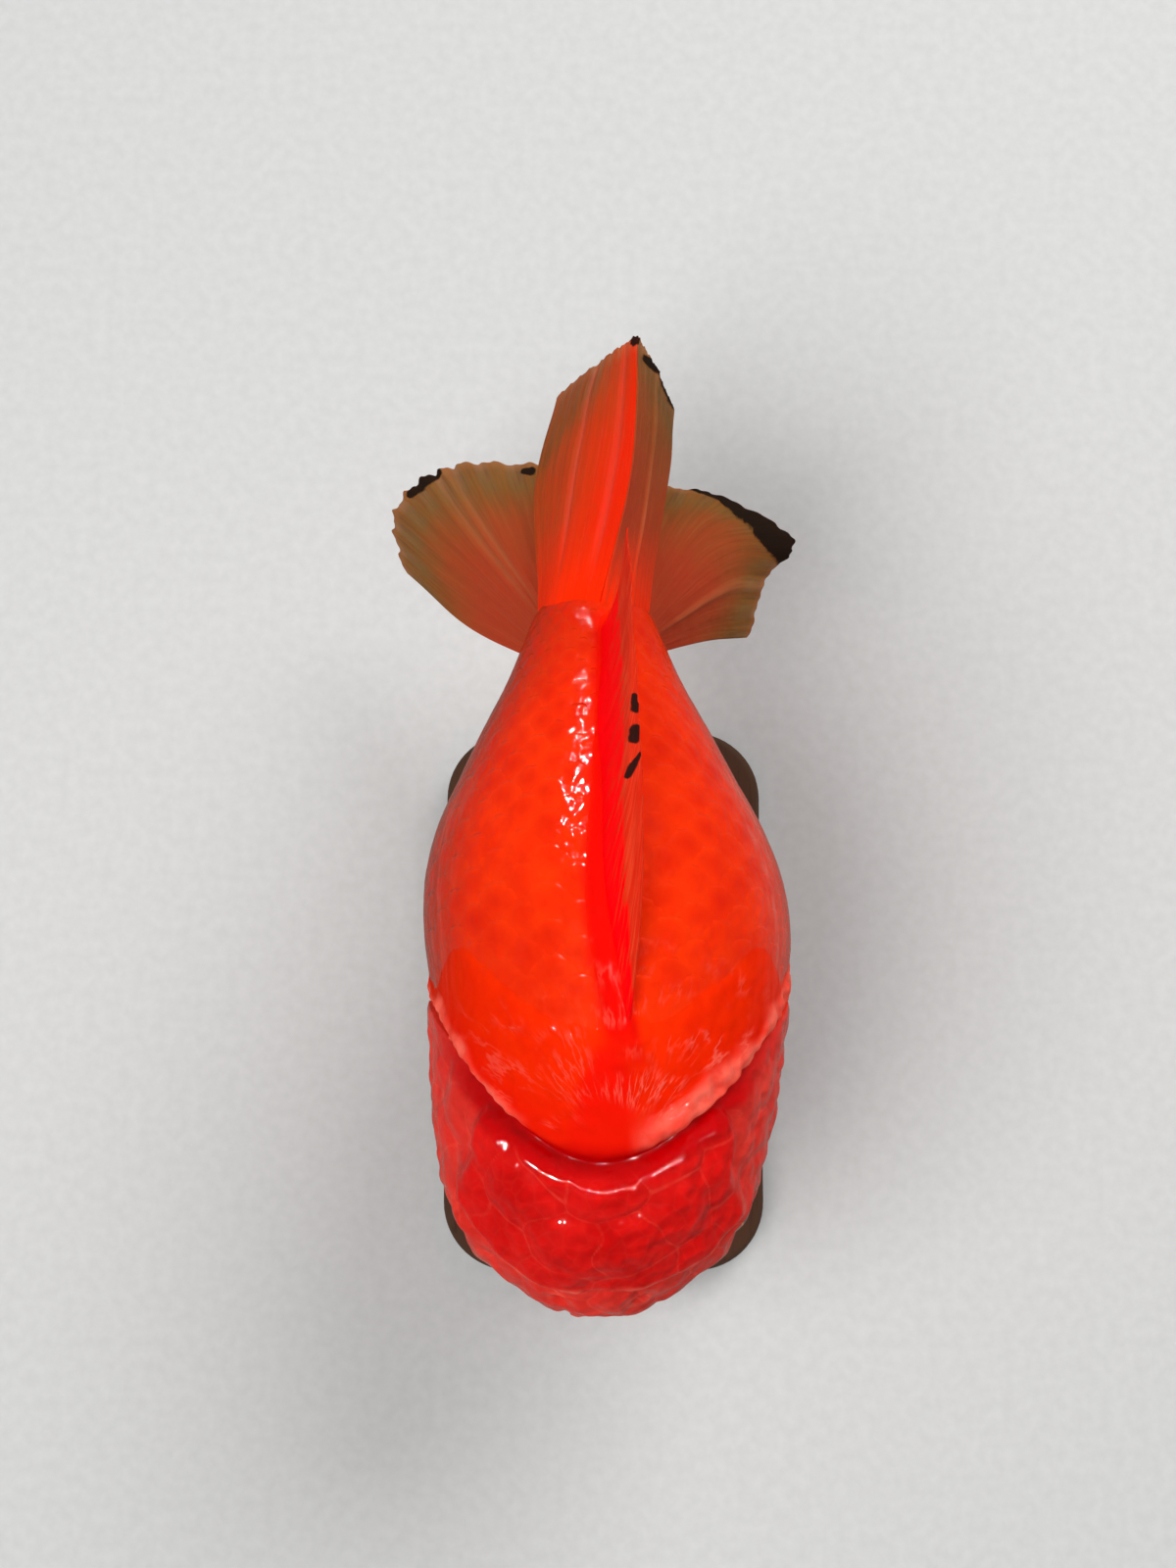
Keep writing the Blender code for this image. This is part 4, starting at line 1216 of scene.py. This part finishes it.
def fin_material(name, near, away, pale, folded=False):
    """Near colour to away colour as the fade grows, with rays, pale folds, and ink where painted."""
    recipe = Recipe(
        name,
        subsurface_weight=0.25,
        subsurface_scale=0.001,
        specular_ior_level=0.03,
    )
    position = recipe.place()
    lie = recipe.lie()
    out = recipe.part(lie, 1)
    ray = recipe.painted("ray")
    streaks = recipe.grain(lie, (70.0, 2.6, 1.0))
    cloud = recipe.noise(position, 90.0, 3.0, 0.6)
    if folded:
        strip = (out + cloud * 0.05 - 0.025).between(0.47, 0.53)
        red = recipe.blend(streaks.between(0.52, 0.66) * out.between(0.22, 0.48), near, away)
        pink = recipe.blend(streaks.between(0.45, 0.65), STRIP_RED, pale)
        colour = recipe.blend(strip, red, pink)
        clear = strip * out.between(0.5, 1.0) * (1 - ray * 0.5) * 0.10
    else:
        far = (recipe.painted("fade") + cloud * 0.4 - 0.2).between(0.08, 0.80)
        film = recipe.blend(far, near, away)
        film = recipe.blend(streaks.between(0.46, 0.36) * 0.09, film, pale)
        film = recipe.blend(recipe.painted("fold") * 0.3, film, pale)
        film = recipe.blend(out.between(0.28, 0.0) * recipe.painted("warm_root"), film, ROOT_RED)
        film = recipe.blend(streaks.between(0.50, 0.66) * far * 0.5, film, FILM_BROWN)
        film = recipe.blend(out.between(0.93, 1.0) * 0.5, film, FILM_PALE)
        rays = recipe.blend(far * 0.8, near, away)
        colour = recipe.blend(ray * 0.5, film, rays)
        clear = far * (1 - ray * 0.6) * (0.05 + out.between(0.55, 1.0) * 0.16)
    edge = recipe.noise(position, 620.0, 4.0, 0.65) * 0.55 - 0.275
    ink = (recipe.painted("ink") + edge).between(0.22, 0.42)
    colour = recipe.blend(ink * 0.97, colour, INK)
    alpha = 1 - clear * (1 - ink)
    normal = recipe.bump(streaks * 0.4 + recipe.noise(position, 300.0, 1.0), 0.0004, 0.7)
    return recipe.finish(base_color=colour, roughness=0.40, alpha=alpha, normal=normal)


FOLDED_FIN = fin_material("folded_fin", PURE_RED, AMBER, STRIP_PINK, folded=True)
SPREAD_FIN = fin_material("spread_fin", PANEL_RED, AMBER, CORAL)
SHADED_FIN = fin_material("shaded_fin", SHADED_RED, SHADED_AMBER, FILM_PALE)

# %% Build one fin
ROOT_THICK, MARGIN_THICK, RIDGE_RISE, PLEAT, WARP = 0.9, 0.22, 0.08, 0.05, 0.25
ROOT_FLESH, FOLD_RISE, FOLD_WIDTH = 0.9, 0.5, 0.03


def rim_of(rows, columns):
    """The indices round the edge of a grid, in order."""
    grid = np.arange(rows * columns).reshape(rows, columns)
    return np.concatenate([grid[0], grid[1:, -1], grid[-1, -2::-1], grid[-2:0:-1, 0]])


def build_fin(name, shape, side, material):
    """Two faces, each half a thickness off the sheet, joined by quads round the rim."""
    sheet, u, v, share = fin_sheet(shape, side)
    normal = np.cross(np.gradient(sheet, axis=1), np.gradient(sheet, axis=0))
    normal /= np.maximum(np.linalg.norm(normal, axis=-1, keepdims=True), 1e-9)
    ridge = ray_ridges(share, v)
    relief = shape.get("relief", 1.0)
    pleat = PLEAT * relief * np.cos(2 * math.pi * u * shape["rays"]) * step(v, 0.08, 0.5)
    pleat += WARP * ripple(sheet, 11.0, 81) * step(v, 0.3, 1.0)
    thick = MARGIN_THICK + (ROOT_THICK - MARGIN_THICK) * (1 - v) ** 1.5
    thick += 2 * RIDGE_RISE * relief * ridge * (1 - 0.6 * v)
    thick += ROOT_FLESH * (1 - step(v, 0.0, 0.16))
    folds = sum(bump_at(u, place, FOLD_WIDTH) for place in shape.get("folds", ()))
    folds = folds * step(v, 0.02, 0.30)
    middle = sheet + normal * (pleat + FOLD_RISE * folds)[..., None]
    half = normal * thick[..., None] / 2
    rows, columns = v.shape
    layer = rows * columns
    grid = np.arange(layer).reshape(rows, columns)
    a, b, c, d = grid[:-1, :-1], grid[:-1, 1:], grid[1:, 1:], grid[1:, :-1]
    top = np.stack([a, b, c, d], -1).reshape(-1, 4)
    rim = rim_of(rows, columns)
    after = np.roll(rim, -1)
    wall = np.stack([rim, rim + layer, after + layer, after], -1)
    faces = [top, top[:, ::-1] + layer, wall]
    both = np.concatenate([(middle + half).reshape(-1, 3), (middle - half).reshape(-1, 3)])
    fin = add_mesh(f"{name}_rays", to_model(both), faces, material)
    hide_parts(name)
    unwrap(fin, "lie", np.tile(np.stack([u.ravel(), v.ravel()], -1), (2, 1)))
    far, far_low, low = shape.get("fade", (0.9, 0.0, 0.0))
    marks = {
        "ray": ridge,
        "fold": folds,
        "fade": (far + far_low * u) * v**2 + low * u,
        "warm_root": float("upper" in name) + 0 * v,
        "ink": ink_at(sheet),
    }
    for mark, values in marks.items():
        paint(fin, mark, np.tile(values.ravel(), 2))
    print(fin.name, "triangles:", 2 * len(fin.data.polygons))


# %% Build all the fins
for name, shape in FINS.items():
    if name == "dorsal_fin":
        build_fin(name, shape, 0, FOLDED_FIN)
        continue
    for side, word in ((1, "left"), (-1, "right")):
        build_fin(f"{name}_{word}", shape, side, SPREAD_FIN)
for name, shape in TAIL.items():
    # The far upper lobe and the lower lobes take the shaded fin, whose darker colours are partly painted
    # shade.
    build_fin(name, shape, 0, SPREAD_FIN if name == "tail_upper_right" else SHADED_FIN)

# %% [markdown]
# ## Eyes
#
# A goldfish's eye is a ball with a flat, dull gold ring and a wide round pupil. It is turned
# about an axis that points out to the side, and its colours are rings of the same angle, so
# they stay true from every direction.

# %% A shape turned about an axis
def turned(heights, radii, middle, axis, sides):
    """Rings of the given radii at the given heights along the axis, first to last."""
    axis = np.asarray(axis, float) / np.linalg.norm(axis)
    first = np.cross(axis, (0, 1, 0) if abs(axis[1]) < 0.9 else (1, 0, 0))
    first /= np.linalg.norm(first)
    second = np.cross(first, axis)
    angle = np.arange(sides)[:, None] / sides * 2 * math.pi
    spoke = np.cos(angle) * first + np.sin(angle) * second
    heights, radii = np.asarray(heights, float), np.asarray(radii, float)
    rings = np.asarray(middle) + heights[:, None, None] * axis + radii[:, None, None] * spoke
    ends = np.asarray(middle) + heights[[0, -1], None] * axis
    return rings[1:-1], ends


# %% The eye's material
IRIS_GOLD, IRIS_RED = (0.42, 0.16, 0.035), (0.30, 0.035, 0.012)
IRIS_GLINT, IRIS_DARK, PUPIL = (0.75, 0.42, 0.12), (0.05, 0.012, 0.008), (0.004, 0.004, 0.005)


def eye_material():
    """Rings of colour by the angle from the eye's axis: pupil, bright rim, gold, dark red."""
    recipe = Recipe("eye", coat_weight=1.0, coat_roughness=0.02, specular_ior_level=0.6, coat_ior=1.4)
    threads = recipe.noise(recipe.place(), 1500.0, 4.0, 0.7)
    at = recipe.painted("tilt") + threads * 3.0 - 1.5
    ring = recipe.blend(threads.between(0.35, 0.7), IRIS_GOLD, IRIS_RED)
    ring = recipe.blend(at.bell(31.0, 2.2) * 0.8, ring, IRIS_GLINT)
    white = recipe.blend(at.between(54.0, 62.0), ring, IRIS_DARK)
    colour = recipe.blend(at.between(30.0, 27.0), white, PUPIL)
    return recipe.finish(base_color=colour, roughness=0.22 + threads * 0.15)


EYE = eye_material()

# %% Build the eyes
EYE_SINK, LENS_BULGE, LENS_DEGREES = 0.12, 0.25, 38
EYE_AXIS, EYE_SIDES, EYE_STEPS = (1.0, -0.12, 0.14), 64, 49

for side, word in ((1, "left"), (-1, "right")):
    x, y, z = EYE_PLACE
    place = (side * x + float(bend_at(y)), y, z)
    tilt = np.linspace(180, 0, EYE_STEPS)
    radius = EYE_RADIUS - EYE_SINK - LENS_BULGE + LENS_BULGE * bump_at(tilt, 0, LENS_DEGREES)
    heights, radii = radius * np.cos(np.radians(tilt)), radius * np.sin(np.radians(tilt))
    axis = np.array(EYE_AXIS) * (side, 1, 1)
    rings, ends = turned(heights, radii, place, axis, EYE_SIDES)
    points = np.concatenate([rings.reshape(-1, 3), ends])
    eye = add_mesh(f"eyeball_{word}", to_model(points), tube_faces(len(rings), EYE_SIDES), EYE)
    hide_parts(f"eye_{word}")
    paint(eye, "tilt", np.concatenate([np.repeat(tilt[1:-1], EYE_SIDES), tilt[[0, -1]]]))
print("eyes across, mm:", 2 * EYE_RADIUS)

# %% [markdown]
# ## The stand
#
# A museum would carry such a model on a small varnished base by two steel rods. The base is a
# rounded rectangle drawn in by a profile: a shadow line at its foot, a straight side and a
# softened brim. Its grain runs along it and follows slow rings, as in a sawn board.

# %% The base's rings
BASE_CORNER, BRIM = 14.0, 1.6
CORNER_STEPS, BRIM_STEPS = 16, 9

base_low, base_high = (np.array(corner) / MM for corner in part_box("stand_base"))
half_width, half_length = (base_high[:2] - base_low[:2]) / 2
base_height = base_high[2] - base_low[2]


def base_ring(inset, height):
    """Quarter circles about the four corners' middles, joined by straight sides."""
    quarter = -np.linspace(0, math.pi / 2, CORNER_STEPS)
    angle = np.concatenate([quarter - k * math.pi / 2 for k in range(4)])
    sign_x = np.repeat([1, -1, -1, 1], CORNER_STEPS)
    sign_y = np.repeat([-1, -1, 1, 1], CORNER_STEPS)
    radius = max(BASE_CORNER - inset, 0.0)
    corner = max(inset - BASE_CORNER, 0.0)
    x = sign_x * (half_width - BASE_CORNER - corner) + radius * np.cos(angle)
    y = sign_y * (half_length - BASE_CORNER - corner) + radius * np.sin(angle)
    return np.stack([x, y, np.full_like(x, height)], axis=-1)


brim_turn = np.linspace(0, math.pi / 2, BRIM_STEPS)
profile = [(12.0, 0.0), (1.4, 0.0), (0.9, 0.15), (0.8, 0.7), (0.1, 1.1), (0.0, 1.4)]
profile += [(BRIM * (1 - math.cos(t)), base_height - BRIM * (1 - math.sin(t))) for t in brim_turn]
profile += [(8.0, base_height), (BASE_CORNER, base_height), (26.0, base_height)]
rings = np.array([base_ring(inset, height) for inset, height in profile])
base_points = np.concatenate([rings.reshape(-1, 3), [(0, 0, 0), (0, 0, base_height)]])
print("base, mm:", np.round(base_high - base_low, 1))

# %% Wood and steel
WOOD_DARK, WOOD_LIGHT, WOOD_PORE = (0.030, 0.014, 0.008), (0.085, 0.038, 0.018), (0.012, 0.006, 0.004)
STEEL_DARK, STEEL_LIGHT = (0.42, 0.42, 0.43), (0.66, 0.66, 0.66)
HEART_ACROSS, HEART_DEPTH, YEAR_RINGS = 0.045, 0.03, 2600.0


def wood_material():
    """Rings of years round the heart of the log, which lies beside and under the base, and pores."""
    recipe = Recipe("dark_wood", coat_weight=0.2, coat_roughness=0.4)
    position = recipe.place()
    warp = recipe.noise(position, 14.0, 2.0) * 0.02
    across, height = recipe.part(position, 0), recipe.part(position, 2)
    from_heart = ((across + HEART_ACROSS + warp) ** 2.0 + (height + HEART_DEPTH) ** 2.0) ** 0.5
    rings = (from_heart * YEAR_RINGS).maths("SINE") * 0.5 + 0.5
    pores = recipe.grain(position, (1600.0, 60.0, 1600.0))
    colour = recipe.blend(rings * 0.7, WOOD_DARK, WOOD_LIGHT)
    colour = recipe.blend(pores.between(0.55, 0.72) * 0.6, colour, WOOD_PORE)
    normal = recipe.bump(pores, 0.0001, 0.35)
    return recipe.finish(base_color=colour, roughness=0.5 + pores * 0.15, normal=normal)


def steel_material():
    """Grey steel with the fine rings that turning leaves round a rod."""
    recipe = Recipe("turned_steel")
    lines = recipe.grain(recipe.place(), (40.0, 40.0, 5200.0))
    colour = recipe.blend(lines.between(0.3, 0.7), STEEL_DARK, STEEL_LIGHT)
    normal = recipe.bump(lines, 0.00003, 0.4)
    return recipe.finish(base_color=colour, metallic=1.0, roughness=0.24 + lines * 0.14, normal=normal)


WOOD, STEEL = wood_material(), steel_material()

# %% Build the stand
base_faces = tube_faces(len(rings), rings.shape[1])
base = add_mesh("wooden_base", base_points * MM, base_faces, WOOD)
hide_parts("stand_base")

ROD_SIDES = 48
FOOT_PROFILE = [
    (0.0, 0.0), (0.0, 5.3), (0.12, 5.5), (1.0, 5.5), (1.3, 5.42), (1.55, 5.1),
    (1.75, 4.3), (2.0, 3.5), (2.35, 2.95), (2.8, 2.62), (3.4, 2.5),
]
for name in ("stand_rod_front", "stand_rod_rear"):
    low, high = (np.array(corner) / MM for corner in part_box(name))
    middle = (low + high) / 2 * (1, 1, 0)
    heights = [base_height + h for h, _ in FOOT_PROFILE] + [high[2], high[2]]
    radii = [r for _, r in FOOT_PROFILE] + [FOOT_PROFILE[-1][1], 0.0]
    rings, ends = turned(heights, radii, middle, (0, 0, 1), ROD_SIDES)
    points = np.concatenate([rings.reshape(-1, 3), ends])
    rod = add_mesh(f"{name}_turned", points * MM, tube_faces(len(rings), ROD_SIDES), STEEL)
    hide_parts(name)
    print(name, "top, mm:", round(float(high[2]), 1))

# %% [markdown]
# ## Floor, light and camera
#
# The floor is a wide pale sheet. Two broad lamps light the scene, and a pale sky fills the
# shadows. Broad lamps leave no bright points on wet skin, so two rows of small ones are mirrored:
# one only by the scales, beside the back fin, and one only by the skin, on the hood. A mirrored
# room is plain and darker than the sky, which would lay a milky veil over the reds. The reference
# view looks down on the back from just in front of the head, eight degrees off the vertical.

# %% Floor
FLOOR_HALF = 3.0
PAPER_DARK, PAPER_LIGHT = (0.52, 0.52, 0.51), (0.56, 0.56, 0.55)

floor_mesh = bpy.data.meshes.new("floor")
corners = [(FLOOR_HALF * x, FLOOR_HALF * y, 0) for x, y in ((-1, -1), (1, -1), (1, 1), (-1, 1))]
floor_mesh.from_pydata(corners, [], [(0, 1, 2, 3)])
floor = bpy.data.objects.new("floor", floor_mesh)
bpy.context.scene.collection.objects.link(floor)
paper = Recipe("pale_paper", specular_ior_level=0.2)
speckle = paper.noise(paper.place(), 400.0, 3.0)
tone = paper.blend(speckle.between(0.3, 0.7), PAPER_DARK, PAPER_LIGHT)
floor_mesh.materials.append(paper.finish(base_color=tone, roughness=0.85))
floor.visible_glossy = False
floor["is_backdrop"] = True

# %% Lights
MIDDLE = Vector((0, 26 * MM, AXIS_HEIGHT * MM))
DOT_LAMP = 0.020


def add_lamp(name, place, size, power, mirrored_by=()):
    """A round lamp turned to the fish. It lights all, or is only mirrored, by the pieces given."""
    lamp = bpy.data.lights.new(name, "AREA")
    lamp.shape = "DISK"
    lamp.size = size
    lamp.energy = power
    holder = bpy.data.objects.new(name, lamp)
    holder.location = place
    holder.rotation_euler = (MIDDLE - Vector(place)).to_track_quat("-Z", "Y").to_euler()
    holder.visible_glossy = bool(mirrored_by)
    holder.visible_diffuse = not mirrored_by
    bpy.context.scene.collection.objects.link(holder)
    if mirrored_by:
        mirrors = bpy.data.collections.new(f"{name}_mirrors")
        holder.light_linking.receiver_collection = mirrors
        for piece in mirrored_by:
            mirrors.objects.link(piece)


def add_row(name, middle, spacing, count, power, mirrored_by):
    """Small lamps in a row, which the pieces given mirror as dots."""
    for k in range(count):
        place = Vector(middle) + (k - (count - 1) / 2) * Vector(spacing)
        add_lamp(f"{name}_{k}", place, DOT_LAMP, power, mirrored_by)


add_lamp("key", (-0.45, -0.25, 0.95), 0.7, 9.2)
add_lamp("fill", (0.50, 0.70, 0.8), 0.8, 11.0)
add_row("over_back", (-0.30, 0.86, 0.75), (0, 0.22, 0), 5, 3.5, coats)
add_row("over_crown", (0.0, -0.12, 0.75), (0.18, 0, 0), 7, 6.0, [skin])
print("lamps:", len(bpy.data.lights))

# %% The room
HORIZON, ZENITH, MIRRORED = (0.62, 0.64, 0.66), (0.10, 0.105, 0.11), (0.24, 0.17, 0.15)

SKY_LOW, SKY_HIGH = 0.1, 0.7


class Sky(Recipe):
    """The room round the scene, with the same tools as a material."""

    def __init__(self, name):
        self.open(bpy.data.worlds.new(name), "Background")


sky = Sky("pale_room")
height = sky.part(sky.make("ShaderNodeTexCoord", output="Generated"), 2)
seen = sky.blend(height.between(SKY_LOW, SKY_HIGH), HORIZON, ZENITH)
is_mirrored = sky.make("ShaderNodeLightPath", output="Is Glossy Ray")
bpy.context.scene.world = sky.finish(color=sky.blend(is_mirrored, seen, MIRRORED))
bpy.context.scene.view_settings.view_transform = "Standard"

# %% Camera
CAMERA_LEVEL, CAMERA_DISTANCE = math.radians(82.0), 0.400
CAMERA_TARGET = Vector((-3.2 * MM, 36.4 * MM, AXIS_HEIGHT * MM))

lens = bpy.data.cameras.new("camera")
lens.lens, lens.sensor_width = 50.0, 36.0
camera = bpy.data.objects.new("camera", lens)
back = Vector((0, -math.cos(CAMERA_LEVEL), math.sin(CAMERA_LEVEL)))
camera.location = CAMERA_TARGET + back * CAMERA_DISTANCE
camera.rotation_euler = (-back).to_track_quat("-Z", "Y").to_euler()
bpy.context.scene.collection.objects.link(camera)
bpy.context.scene.camera = camera
print("camera at, m:", [round(part, 3) for part in camera.location])

# %% Sizes, and the end
bpy.context.view_layer.update()
low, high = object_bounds()
print("visual size, mm:", [round(float(b - a) / MM, 1) for a, b in zip(low, high)])
